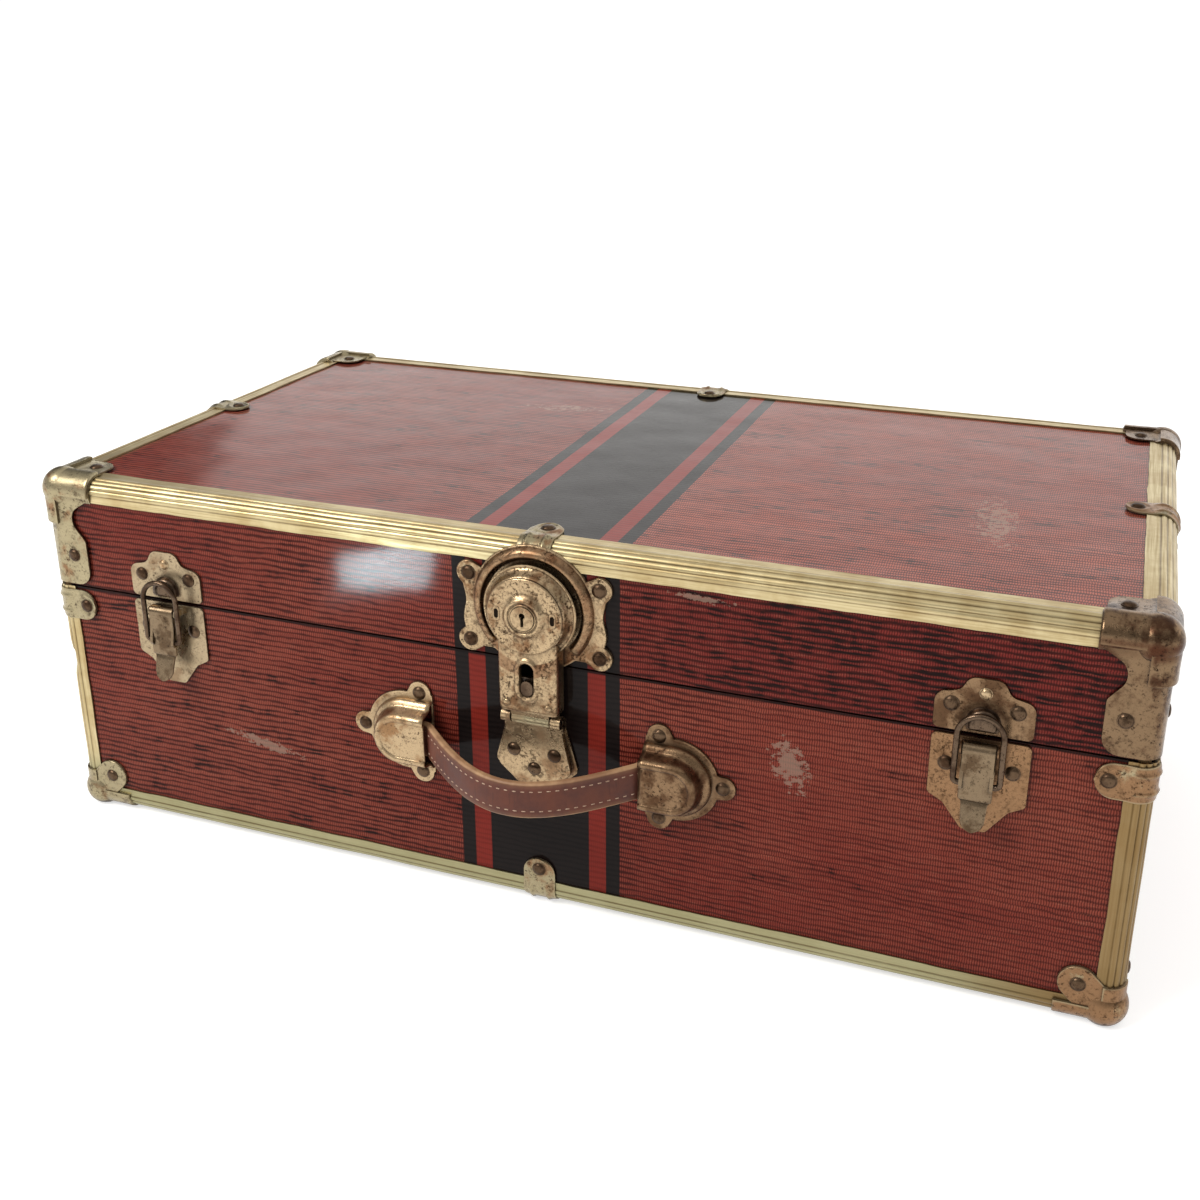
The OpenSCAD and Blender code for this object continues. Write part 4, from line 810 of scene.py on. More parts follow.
def handle_strap():
    """The leather strap, with its raw edges marked for the material."""
    section = strap_section()
    end = STRAP_HIGH.x
    rings = []
    for k in range(STRAP_STEPS + 1):
        x = end * (2 * k / STRAP_STEPS - 1)
        middle, out, _, up = strap_frame(x)
        wobbles = [0.12 * MM * noise.noise(Vector((x * 110, w * 160, t * 300))) for w, t in section]
        rings.append([middle + up * w + out * (t + wobble) for (w, t), wobble in zip(section, wobbles)])
    form = Strip()
    form.loft(rings, section, 2 * end)
    raw = [clamp((abs(w) - STRAP_HALF_W + 1.6 * MM) / (0.5 * MM)) for w, _ in section]
    piece = form.strip("handle_strap_leather", 60, "raw_edge", raw * (STRAP_STEPS + 1))
    adopt(piece, "handle_strap", LEATHER)


def stitching():
    """Two rows of stitches on each face of the strap, each stitch a small round-ended bar."""
    form = Form()
    x = -MOUTH_X
    while x < MOUTH_X:
        middle, out, ahead, up = strap_frame(x)
        for face in (out, -out):
            for row in (up, -up):
                seat = middle + row * (STRAP_HALF_W - STITCH_IN) + face * (STRAP_HALF_T + 0.12 * MM)
                rings = []
                for t in (-1, -0.5, 0, 0.5, 1):
                    r = STITCH_R * max(0.3, math.sqrt(1 - t ** 4))
                    centre = seat + ahead * (t * STITCH_L / 2) - face * (0.3 * MM * t ** 2)
                    rings.append([centre + up * (r * math.cos(a)) + out * (r * math.sin(a))
                                  for a in round_angles(6)])
                form.skin(rings)
        x += ahead.x * STITCH_PITCH
    ride_with(form.piece("handle_stitching", 80), "handle_strap", THREAD)


handle_strap()
stitching()


# Shapes shared by the metal parts

def on_front(x, z, out):
    """A point of the front face: across, up and out of the plane of the bindings."""
    return Vector((x, PLANE_FRONT - out, z))


def front_ring(x, z, out, reach, steps, sign=1):
    """A ring on the front face round a middle; reach gives its distance for an angle."""
    reaches = [(a, reach(a)) for a in round_angles(steps)]
    return [on_front(x + sign * r * math.cos(a), z + r * math.sin(a), out) for a, r in reaches]


def barrel(radius, length, edge):
    """Profile of a cylinder with bevelled ends."""
    return [(radius - edge, 0), (radius, edge), (radius, length - edge), (radius - edge, length)]


def islands(node):
    """Bounding boxes of a node's separate solids."""
    shape = opened(frame["nodes"][node].data)
    seen, boxes = set(), []
    for vert in shape.verts:
        if vert.index in seen:
            continue
        stack, found = [vert], []
        seen.add(vert.index)
        while stack:
            here = stack.pop()
            found.append(here.co.copy())
            for edge in here.link_edges:
                there = edge.other_vert(here)
                if there.index not in seen:
                    seen.add(there.index)
                    stack.append(there)
        boxes.append((Vector(map(min, zip(*found))), Vector(map(max, zip(*found)))))
    shape.free()
    return boxes


def outside(low, high, axis, plane, inward):
    """How far a box stands out past one of the planes."""
    return plane - low[axis] if inward[axis] > 0 else high[axis] - plane


def front_rivets(node, x, z, half_w, half_h):
    """Places of a node's rivets on the front face round a middle, measured from it."""
    middles = [(low + high) / 2 for low, high in islands(node) if low.y < PLANE_FRONT - 0.5 * MM]
    return [(middle.x - x, middle.z - z) for middle in middles
            if abs(middle.x - x) < half_w and abs(middle.z - z) < half_h]


def lug_reach(reach, angle, lugs, radius):
    """Distance to the edge of a plate in one direction, with the round lugs at its rivets."""
    c, t = math.cos(angle), math.sin(angle)
    for x, z in lugs:
        ahead, aside = x * c + z * t, abs(z * c - x * t)
        if ahead > 0 and aside < radius:
            reach = max(reach, ahead + math.sqrt(radius ** 2 - aside ** 2))
    return reach


# Rivets

RIVET_R = 3.7 * MM
RIVET_H = 1.5 * MM
SMALL_RIVET = 0.78
RIVET_SEED = 1
RIVET_PROFILE = [
    (1.0, -0.25), (1.14, -0.2), (1.14, 0.12), (1.02, 0.2), (0.98, 0.3),
    (0.9, 0.62), (0.72, 0.88), (0.45, 1.06), (0.15, 1.14), (0.02, 1.15)]


def rivets(node):
    """Domed heads with a thin collar, each slightly out of true, at the places of the CAD rivets."""
    form, plated = Form(), []
    latch_x = joint_place("right_lever_pivot").x
    planes = [plane[1:] for plane in PLANES if plane[0] != "bottom"]
    for k, (low, high) in enumerate(islands(node)):
        middle = (low + high) / 2
        axis = -max(planes, key=lambda plane: outside(low, high, *plane))[2]
        top = middle + axis * abs((high - low).dot(axis) / 2)
        tilt = Vector(noise.noise_vector(Vector((k * 3.7, 1.3, 0.2)))) * 0.12
        small = axis.y < 0 and abs(abs(middle.x) - latch_x) < 2 * MM
        size = RIVET_R * (SMALL_RIVET if small else 1)
        profile = [(r * size, h * RIVET_H) for r, h in RIVET_PROFILE]
        form.lathe(top - axis * RIVET_H, (axis + tilt).normalized(), profile, 20)
        plated += [int(small)] * (len(form.faces) - len(plated))
    piece = adopt(form.welded(node + "_heads", 50), node, RIVET_METAL)
    piece.data.materials.append(HARDWARE)
    piece.data.polygons.foreach_set("material_index", plated)


# Without a seed, the noise that tilts the rivets would differ from run to run
noise.seed_set(RIVET_SEED)
rivets("lid_rivets")
rivets("base_rivets")


# Draw latches

LEVER_HALF_W = 8.5 * MM
LEVER_T = 1.8 * MM
BARREL_R = 4.2 * MM
WIRE_R = 1.6 * MM
LOOP_HALF_W = 11.7 * MM
FOOT_R = 2.5 * MM
PLATE_TOP = 0.4 * MM
KEEPER_DROP = 3.2 * MM
# Rows down the lever in millimetres: height from its pivot, lift and half width
LEVER_ROWS = [
    (2.6, -1.6, 8.5), (1.4, -0.4, 8.5), (0, 0, 8.5), (-10, 0.1, 8.5), (-20, 0.1, 8.5), (-26, 0, 8.5),
    (-27, -0.1, 8.3), (-27.6, -0.6, 7.6), (-28.3, -0.1, 6.9), (-30, 0.5, 6.6), (-34, 1.7, 6.4),
    (-38, 2.9, 6.1), (-40.5, 3.6, 5.1), (-42, 4.05, 3.5), (-42.8, 4.3, 1.6), (-43, 4.35, 0.6)]
# The lower end of a lever's cheek in millimetres from the loop's pivot: up and out
CHEEK_FOOT = [(-1, 2.6), (-2.8, 1.6), (-3, -1), (-1.5, -2.8)]
# Rings of the keeper's dome: share of its outline and height in millimetres
KEEPER_DOME = [
    (1.08, 0.2), (1.02, 0.8), (1.0, 2.3), (0.95, 3.2), (0.84, 3.8), (0.66, 4.25), (0.4, 4.6), (0.1, 4.75)]


def latch_loop(side, middle):
    """A wire bail: feet in the lever's cheeks, straight legs and a round arch over the hook."""
    pivot = joint_place(side + "_loop_pivot")
    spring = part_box(side + "_latch_loop")[1].z - WIRE_R - LOOP_HALF_W
    half = [(7 * MM, pivot.z), (LOOP_HALF_W - FOOT_R, pivot.z)]
    half += [(LOOP_HALF_W - FOOT_R * (1 - math.sin(a)), pivot.z + FOOT_R * (1 - math.cos(a)))
             for a in arc(0, 90, 6)[1:]]
    half += [(LOOP_HALF_W, spring - 4 * MM)]
    half += [(LOOP_HALF_W * math.cos(a), spring + LOOP_HALF_W * math.sin(a)) for a in arc(0, 90, 12)]
    path = half + [(-x, z) for x, z in half[-2::-1]]
    path = [on_front(middle + x, z, PLANE_FRONT - pivot.y) for x, z in path]
    rings = []
    for k, p in enumerate(path):
        ahead = (path[min(k + 1, len(path) - 1)] - path[max(k - 1, 0)]).normalized()
        aside = AXIS_Y.cross(ahead)
        rings.append([p + (aside * math.cos(a) + AXIS_Y * math.sin(a)) * WIRE_R for a in round_angles(14)])
    form = Form()
    form.skin(rings)
    adopt(form.welded(side + "_latch_bail", 60), side + "_latch_loop", STEEL)


def latch_lever(side, middle):
    """A pressed lever: a curled barrel, a flat panel with a crease and a narrower thumb tab bent outward."""
    pivot, loop = joint_place(side + "_lever_pivot"), joint_place(side + "_loop_pivot")
    out, loop_out = PLANE_FRONT - pivot.y, PLANE_FRONT - loop.y
    face = out + BARREL_R - 0.3 * MM
    rings = []
    for drop, lift, half in LEVER_ROWS:
        z, h, w = pivot.z + drop * MM, face + lift * MM, half * MM
        soft = min(0.45 * MM, w / 3)
        back = h - LEVER_T
        ring = [(x, h + 0.3 * MM * (1 - (x / w) ** 2)) for x in ((w - soft) * (i / 4 - 1) for i in range(9))]
        ring += [(w, h - soft), (w, back + soft), (w - soft, back)]
        ring += [(soft - w, back), (-w, back + soft), (-w, h - soft)]
        rings.append([on_front(middle + x, z, level) for x, level in ring])
    form = Form()
    form.skin(rings)
    profile = barrel(BARREL_R, 2 * LEVER_HALF_W, 0.5 * MM)
    form.lathe(on_front(middle - LEVER_HALF_W, pivot.z, out), AXIS_X, profile, 28)
    cheek = [(pivot.z, out - 2 * MM), (pivot.z, out + 2 * MM)]
    cheek += [(loop.z + z * MM, loop_out + h * MM) for z, h in CHEEK_FOOT]
    for sign in (-1, 1):
        form.skin([[on_front(middle + x, z, h) for z, h in cheek]
                   for x in (sign * LEVER_HALF_W, sign * (LEVER_HALF_W - LEVER_T))])
    adopt(form.welded(side + "_latch_lever_pressed", 38), side + "_latch_lever", LEVER_METAL)


def dome_reach(angle):
    """Distance to the edge of the keeper's dome: round above and squarer below."""
    c, t = abs(math.cos(angle)), math.sin(angle)
    if t >= 0:
        return LEVER_HALF_W
    return ((c / LEVER_HALF_W) ** 6 + (-t / KEEPER_DROP) ** 6) ** (-1 / 6)


def latch_keeper(side, middle, material):
    """The keeper's plate from the CAD, with its hook pressed as a round-topped dome."""
    node = side + "_latch_keeper"
    shape = opened(frame["nodes"][node].data)
    sill = min(vert.co.z for vert in shape.verts if vert.co.y < PLANE_FRONT - 1 * MM) + 0.9 * MM
    whole = shape.verts[:] + shape.edges[:] + shape.faces[:]
    cut = bmesh.ops.bisect_plane(shape, geom=whole, plane_co=on_front(0, 0, PLATE_TOP - 0.05 * MM),
                                 plane_no=-AXIS_Y, clear_outer=True)
    rim = [item for item in cut["geom_cut"] if isinstance(item, bmesh.types.BMEdge)]
    bmesh.ops.triangle_fill(shape, use_beauty=True, use_dissolve=True, edges=rim)
    merge_flat(shape)
    shape.verts.index_update()
    form = Form([vert.co.copy() for vert in shape.verts],
                [tuple(vert.index for vert in face.verts) for face in shape.faces])
    shape.free()
    plate_faces = len(form.faces)
    form.skin([front_ring(middle, sill + KEEPER_DROP, h * MM, lambda a: share * dome_reach(a), 40)
               for share, h in KEEPER_DOME])
    piece = form.welded(node + "_pressed", 38)
    rounded(piece, 0.3 * MM, 60, harden=False)
    adopt(piece, node, material)
    piece.data.materials.append(STEEL)
    for face in piece.data.polygons[plate_faces:]:
        face.material_index = 1


# The right keeper takes the darker brass, which is partly painted shade.
for side, keeper, plate in (("left", PLATE_PALE, PLATE_PALE), ("right", HARDWARE_BROWN_SHADED, PLATE_ORANGE)):
    middle = joint_place(side + "_lever_pivot").x
    latch_loop(side, middle)
    latch_lever(side, middle)
    latch_keeper(side, middle, keeper)
    softened(side + "_latch_plate", plate)


# Handle caps

CAP_MIDDLE = 83.5 * MM
CAP_R = 20.5 * MM
CAP_MOUTH = CAP_MIDDLE - MOUTH_X
CAP_SHEET = 1.1 * MM
# Rings of the dome in millimetres: distance in from its foot and height
CAP_PROFILE = [
    (0, -0.9), (0, 1.2), (0.3, 2.6), (1.2, 3.6), (2.4, 4.1), (3.4, 5.0), (4.2, 7.0), (4.9, 9.6), (5.5, 11.6),
    (6.1, 12.6), (6.9, 13.2), (7.5, 13.3), (8.2, 12.9), (8.8, 12.3), (9.4, 12.1), (14, 12.1), (19.9, 12.1)]
FLANGE_R = CAP_R + 5 * MM
FLANGE_IN = 0.5 * MM
# Rings of the flange in millimetres: distance out from its edge and height, and the heights of its hole
FLANGE_LEVELS = [(0.0, -1.0), (0.0, 0.0), (-0.12, 0.32), (-0.45, 0.45), (-1.2, 0.4)]
FLANGE_HOLE = (0.4, -1.0)
FLANGE_POINTS = 144
LUG_R = 7.2 * MM
CAP_STUD = [(2.4, 0), (2.3, 0.5), (1.6, 1.0), (0.6, 1.2), (0.05, 1.2)]


def flange_reach(angle, radius, mouth, lugs):
    """Distance from the cap's middle to the edge of its flange in one direction."""
    c, t = math.cos(angle), math.sin(angle)
    reach = radius if c >= 0 else min(mouth / max(-c, 1e-6), radius / max(abs(t), 1e-6))
    return lug_reach(reach, angle, lugs, LUG_R)


def cap_dome(node, sign, material):
    """The stepped shoulder and the flat D-shaped crown with a rolled edge, open towards the strap."""
    rings = []
    for inset, h in CAP_PROFILE:
        r = CAP_R - inset * MM
        path = [(-CAP_MOUTH * (1 - i / 6), -r) for i in range(6)]
        path += [(r * math.cos(a), r * math.sin(a)) for a in arc(-90, 90, 32)]
        path += [(-CAP_MOUTH * i / 6, r) for i in range(1, 7)]
        rings.append([on_front(sign * (CAP_MIDDLE + x), PIVOT.z + z, h * MM) for x, z in path[::-sign]])
    n = len(rings[0])
    last = n * (len(rings) - 1)
    faces = [(k + i, k + i + 1, k + n + i + 1, k + n + i) for k in range(0, last, n) for i in range(n - 1)]
    faces.append(tuple(range(last, last + n)))
    dome = Form([p for ring in rings for p in ring], faces).piece(node + "_dome", 45)
    sheet = dome.modifiers.new("sheet", "SOLIDIFY")
    sheet.thickness = CAP_SHEET
    sheet.offset = -1
    ride_with(dome, node, material)


def cap_flange(node, sign, material):
    """The flange round the dome, with a lug at each rivet, and the stud on the crown."""
    x, z = sign * CAP_MIDDLE, PIVOT.z
    lugs = [(sign * dx, dz) for dx, dz in front_rivets("base_rivets", x, z, 36 * MM, 40 * MM)]

    def edge(angle):
        return flange_reach(angle, FLANGE_R, CAP_MOUTH, lugs)

    def hole(angle):
        return flange_reach(angle, CAP_R - FLANGE_IN, CAP_MOUTH - FLANGE_IN, [])

    rings = [front_ring(x, z, h * MM, lambda a: edge(a) + shift * MM, FLANGE_POINTS, sign)
             for shift, h in FLANGE_LEVELS]
    rings += [front_ring(x, z, h * MM, hole, FLANGE_POINTS, sign) for h in FLANGE_HOLE]
    form = Form()
    form.skin(rings + rings[:1], closed_ends=False)
    form.lathe(on_front(sign * (MOUTH_X + 6 * MM), z + 1.5 * MM, 12.5 * MM), -AXIS_Y, in_mm(CAP_STUD))
    adopt(form.welded(node + "_flange", 40), node, material)


# The right cap takes the darker brass, which is partly painted shade.
for hand, sign, material in (("left", -1, HARDWARE), ("right", 1, HARDWARE_BROWN_SHADED)):
    cap_dome("handle_cap_" + hand, sign, material)
    cap_flange("handle_cap_" + hand, sign, material)


# Corner caps

LID_BEAD_R = 12.3 * MM
BASE_BEAD_R = 10.9 * MM
CAP_BALL_R = 13 * MM
BEAD_REACH = 34.5 * MM
BEAD_DROP = 29.5 * MM
BASE_BEAD_RISE = 24.5 * MM
# Shares of a bead's length and of its radius there
BEAD_TAPER = [
    (0, 1), (0.25, 1), (0.5, 0.99), (0.75, 0.99), (0.9, 0.995), (0.96, 0.995), (0.99, 0.985), (1, 0.96)]
LOBE_MIDDLE = 23 * MM
LOBE_R = 10.6 * MM
LOBE_START = EDGE_R - 0.6 * MM
LOBE_LEVELS = [(0, -0.8), (0, 0.5), (0.2, 0.85), (0.6, 1.05), (1.2, 1.0)]


def corner_beads(form, corner, inward, bead_r, reaches):
    """Three quarter-round beads that run from a ball along the edges of a corner."""
    ball = corner + sum(inward, Vector()) * EDGE_R
    for k, reach in enumerate(reaches):
        along, first, second = inward[k], inward[k - 2], inward[k - 1]
        rings = []
        for t, share in BEAD_TAPER:
            origin = ball + along * ((reach - EDGE_R) * t)
            section = [(a, bead_r * share) for a in arc(-8, 98, 20)]
            section += [(a, EDGE_R - 1.5 * MM) for a in arc(98, -8, 8)]
            rings.append([origin - (first * math.cos(a) + second * math.sin(a)) * r for a, r in section])
        form.skin(rings)
    profile = [(CAP_BALL_R * math.sin(a + 0.01), CAP_BALL_R * math.cos(a + 0.01)) for a in arc(0, 115, 24)]
    form.lathe(ball, -sum(inward, Vector()).normalized(), profile, 36)


def cap_lobe(form, corner, first, second, out):
    """A tongue with a round end that lies on a face, along the diagonal from the corner to its rivet."""
    side = LOBE_START + LOBE_R * math.sqrt(2)
    tip = [(LOBE_R * math.cos(a), LOBE_R * math.sin(a)) for a in arc(-45, 135, 24)]
    outline = [(LOBE_START, LOBE_START), (side, LOBE_START)]
    outline += [(LOBE_MIDDLE + a, LOBE_MIDDLE + b) for a, b in tip]
    outline += [(LOBE_START, side)]
    rings = []
    for inset, h in LOBE_LEVELS:
        ring = []
        for a, b in outline:
            da, db = a - LOBE_MIDDLE, b - LOBE_MIDDLE
            keep = 1 - inset * MM / math.hypot(da, db)
            ring.append(corner + first * (LOBE_MIDDLE + da * keep) + second * (LOBE_MIDDLE + db * keep)
                        + out * (h * MM))
        rings.append(ring)
    form.skin(rings)


def lid_cap(node, corner, inward, material):
    """The lid's cap keeps the CAD's long legs, and beads swell along its edges."""
    softened(node, material)
    form = Form()
    corner_beads(form, corner, inward, LID_BEAD_R, (BEAD_REACH, BEAD_REACH, BEAD_DROP))
    ride_with(form.welded(node + "_beads", 45), node, material)


def base_cap(node, corner, inward, material):
    """The base's cap: a ball and wraps round the edges, cut flat at the floor, with a tongue on each face."""
    form = Form()
    corner_beads(form, corner, inward, BASE_BEAD_R, (BEAD_REACH, BEAD_REACH, BASE_BEAD_RISE))
    for k in range(3):
        cap_lobe(form, corner, inward[k - 2], inward[k - 1], -inward[k])
    form.stand()
    adopt(form.welded(node + "_cap", 45), node, material)


for depth, _, y, in_y in FACES:
    for hand, _, x, in_x in ENDS:
        place = f"corner_{depth}_{hand}"
        material = CAP_METAL if hand == "left" else CAP_DARK
        lid_cap("lid_" + place, Vector((x, y, PLANE_TOP)), [in_x, in_y, -AXIS_Z], material)
        base_cap("base_" + place, Vector((x, y, PLANE_LOW)), [in_x, in_y, AXIS_Z], CAP_METAL)


# Straps across the edges

STRAP_HALF = 10 * MM
STRAP_LIFT = RIB_H + 0.15 * MM
RIDGE_AT = 5.2 * MM
RIDGE_HALF = 1.1 * MM
RIDGE_H = 0.9 * MM
EYE_AT = 22 * MM
EYE_R = 6.6 * MM
EYE_H = 0.55 * MM


def edge_strap(form, edge, first, second, reaches):
    """A strap over an edge: two ridges over the crest, and on each face a round lug with a raised eye."""
    along = first.cross(second)
    legs = []
    for own, other, reach in ((first, second, reaches[0]), (second, first, reaches[1])):
        count = max(1, round((reach - EDGE_R) / (1.2 * MM)))
        places = [EDGE_R + (reach - EDGE_R) * k / count for k in range(count + 1)]
        legs.append([(edge + other * d, -own, d, reach) for d in places])
    centre = edge + (first + second) * EDGE_R
    crest_normals = [-first * math.cos(a) - second * math.sin(a) for a in arc(0, 90, 16)[1:-1]]
    crown = [(centre + normal * EDGE_R, normal, 0, EDGE_R + STRAP_HALF) for normal in crest_normals]
    rings = []
    for p, normal, d, reach in legs[0][::-1] + crown + legs[1]:
        from_tip = min(1, (reach - d) / STRAP_HALF) if reach > EDGE_R + STRAP_HALF else 1
        half = max(0.4 * MM, STRAP_HALF * math.sqrt(1 - (1 - from_tip) ** 2))
        crest = clamp(1 - (d - EDGE_R) / (5 * MM))
        ring = []
        for u in (half * (i / 10 - 1) for i in range(21)):
            h = STRAP_LIFT * crest + (1 - 0.45 * abs(u / half) ** 8) * MM
            h += RIDGE_H * near(abs(u), RIDGE_AT, RIDGE_HALF) * crest
            h += EYE_H * near(math.hypot(u, d - EYE_AT), EYE_R, 1.3 * MM)
            ring.append(p + along * u + normal * h)
        for u in (half, half / 2, 0, -half / 2, -half):
            ring.append(p + along * u + normal * (STRAP_LIFT * crest - 0.3 * MM))
        rings.append(ring)
    form.skin(rings)


def edge_straps(node, material):
    """Straps at the places of a node's solids."""
    form = Form()
    for low, high in islands(node):
        edge = (low + high) / 2
        legs = []
        for _, axis, plane, inward in PLANES:
            if outside(low, high, axis, plane, inward) > -EDGE_R:
                edge[axis] = plane
                tip = high[axis] if inward[axis] > 0 else low[axis]
                legs.append((inward, max(EDGE_R, (tip - plane) * inward[axis])))
        (first, deep), (second, wide) = legs
        edge_strap(form, edge, first, second, (wide, deep))
    form.stand()
    adopt(form.welded(node + "_pressed", 50), node, material)


for node in ("base_corner_clips", "lid_binding_clamps", "base_binding_clamps"):
    edge_straps(node, CAP_METAL)


# Lock, with its profiles as radius and height in millimetres

LOCK_STEPS = 120
DRUM_PROFILE = [
    (0.1, 1.4), (18.5, 1.4), (18.5, 5.2), (27.1, 5.2), (27.5, 5.5), (27.6, 6.2), (27.2, 6.7), (26.6, 6.8),
    (26.1, 6.6), (25.3, 7.1), (24.5, 8.2), (23.8, 9.5), (23.2, 10.8), (22.8, 11.7), (22.2, 12.1),
    (21.5, 12.2), (21.5, 12.5), (22.1, 12.8), (22.2, 13.3), (21.8, 13.75), (21.2, 13.85), (20.4, 13.7),
    (18, 13.5), (14.6, 13.5), (13.7, 13.65), (12.9, 14.0), (12.1, 14.6), (11.4, 15.3), (10.8, 15.9),
    (10.2, 16.3), (9.6, 16.4), (9.1, 16.2), (8.8, 15.7), (8.4, 15.7), (8.1, 16.2), (7.7, 16.4), (7.3, 16.2),
    (7.1, 15.6), (7.1, 5.6), (0.1, 5.6)]
SLOT_X = 16.6 * MM
SLOT_LIP = [(1.0, 13.3), (1.0, 13.75), (0.85, 13.95), (0.66, 13.8), (0.62, 13.3)]
SLOT_FLOOR = [(1, 13.3), (1, 13.6)]
RIM_PROFILE = [
    (37, 0.2), (36.7, 0.75), (36.2, 0.9), (35.8, 1.7), (35.3, 2.7), (34.6, 3.6), (33.7, 4.3), (32.7, 4.7),
    (31.7, 4.75), (30.9, 4.4), (30.4, 3.6), (30.1, 2.6), (29.7, 2.0), (29.1, 1.8), (28.7, 1.3), (28.6, 0.2)]
RIM_FOOT = 0.2
RIM_MOUTH = 45
RIM_STEPS = 90
DISC_R = 37.2 * MM
PLATE_HALF_W = 42 * MM
PLATE_UP, PLATE_DOWN = 20 * MM, 28 * MM
PLATE_LEVELS = [(0, -1), (0, 0.45), (0.25, 0.85), (0.7, 1.05), (1.3, 0.95), (1.9, 0.75), (2.6, 0.7)]
LOCK_LUG_R = 7.4 * MM


def oval_ring(x, z, half_w, half_l, out):
    """An upright oval with straight sides on the front face."""
    return [on_front(x + half_w * math.cos(a), z + half_w * math.sin(a)
                     + math.copysign(half_l - half_w, math.sin(a)), out) for a in round_angles(48)]


def lock_drum():
    """The drum: a flange, a bowl, a disc with a rolled edge and two slots whose dark floors are painted shade, and
    a boss round the key.
    """
    form, slots = Form(), Form()
    rings = [front_ring(LOCK.x, LOCK.z, h * MM, lambda a: r * MM, LOCK_STEPS) for r, h in DRUM_PROFILE]
    form.skin(rings + rings[:1], closed_ends=False)
    for x in (LOCK.x - SLOT_X, LOCK.x + SLOT_X):
        form.skin([oval_ring(x, LOCK.z, 1.9 * MM * k, 4.2 * MM * k, h * MM) for k, h in SLOT_LIP])
        slots.skin([oval_ring(x, LOCK.z, 1.2 * MM * k, 3.4 * MM * k, h * MM) for k, h in SLOT_FLOOR])
    adopt(form.welded("lock_drum_turned", 40), "lock_drum", LOCK_METAL)
    # Dark floors standing for the shade inside the slots.
    ride_with(slots.welded("lock_drum_slots"), "lock_drum", SLOT_SHADE)


def lock_plate_reach(angle, lugs):
    """Distance from the lock's middle to the edge of its lid plate: a disc, scalloped sides and four lugs."""
    c, t = abs(math.cos(angle)), math.sin(angle)
    side = (PLATE_HALF_W - 0.9 * MM * math.cos(12 * angle)) / max(c, 1e-6)
    reach = max(DISC_R, min(side, (PLATE_UP if t > 0 else PLATE_DOWN) / max(abs(t), 1e-6)))
    reach = lug_reach(reach, angle, lugs, LOCK_LUG_R)
    return min(reach, (LOCK.z - PARTING) / -t) if t < 0 else reach


def lock_lid_plate():
    """The pressed plate on the lid, with a rolled edge and the raised C rim that the drum closes into."""
    lugs = front_rivets("lid_rivets", LOCK.x, LOCK.z, 60 * MM, 40 * MM)
    form = Form()

    def edge(angle):
        return lock_plate_reach(angle, lugs)

    form.skin([front_ring(LOCK.x, LOCK.z, h * MM, lambda a: edge(a) - inset * MM, 2 * LOCK_STEPS)
               for inset, h in PLATE_LEVELS])
    sections = []
    span = 360 - 2 * RIM_MOUTH
    for k in range(RIM_STEPS + 1):
        turn = span * k / RIM_STEPS
        a = math.radians(RIM_MOUTH - 90 + turn)
        rise = math.sqrt(min(1, (min(turn, span - turn) + 0.2) / 5))
        levels = [(r * MM, (RIM_FOOT + (h - RIM_FOOT) * rise) * MM) for r, h in RIM_PROFILE]
        sections.append([on_front(LOCK.x + r * math.cos(a), LOCK.z + r * math.sin(a), h) for r, h in levels])
    form.skin(sections)
    adopt(form.welded("lock_lid_plate_pressed", 40), "lock_lid_plate", LOCK_METAL)


HASP_HALF_W = 18 * MM
# Rings of the hasp in millimetres: distance in from its edge, or out from its slot, and height
HASP_LEVELS = [(2.2, 1.8), (0, 1.8), (0, 8.4), (0.2, 9.7), (0.7, 10.8), (1.5, 11.6), (2.5, 11.95), (3.4, 12)]
SLOT_LEVELS = [
    (4.0, 12), (3.3, 12.4), (2.7, 13.2), (1.9, 13.6), (1.0, 13.4), (0.3, 12.7), (0, 11.8), (0, 9.8)]
SLOT_HALF_W, SLOT_HALF_L = 4 * MM, 10 * MM
KNUCKLE_R = 4 * MM
KNUCKLE_HALF = 11.6 * MM
HASP_STUD_X = 12.5 * MM
HASP_STUD = [(2.3, -0.2), (2.2, 0.4), (1.6, 1.0), (0.8, 1.3), (0.05, 1.4)]


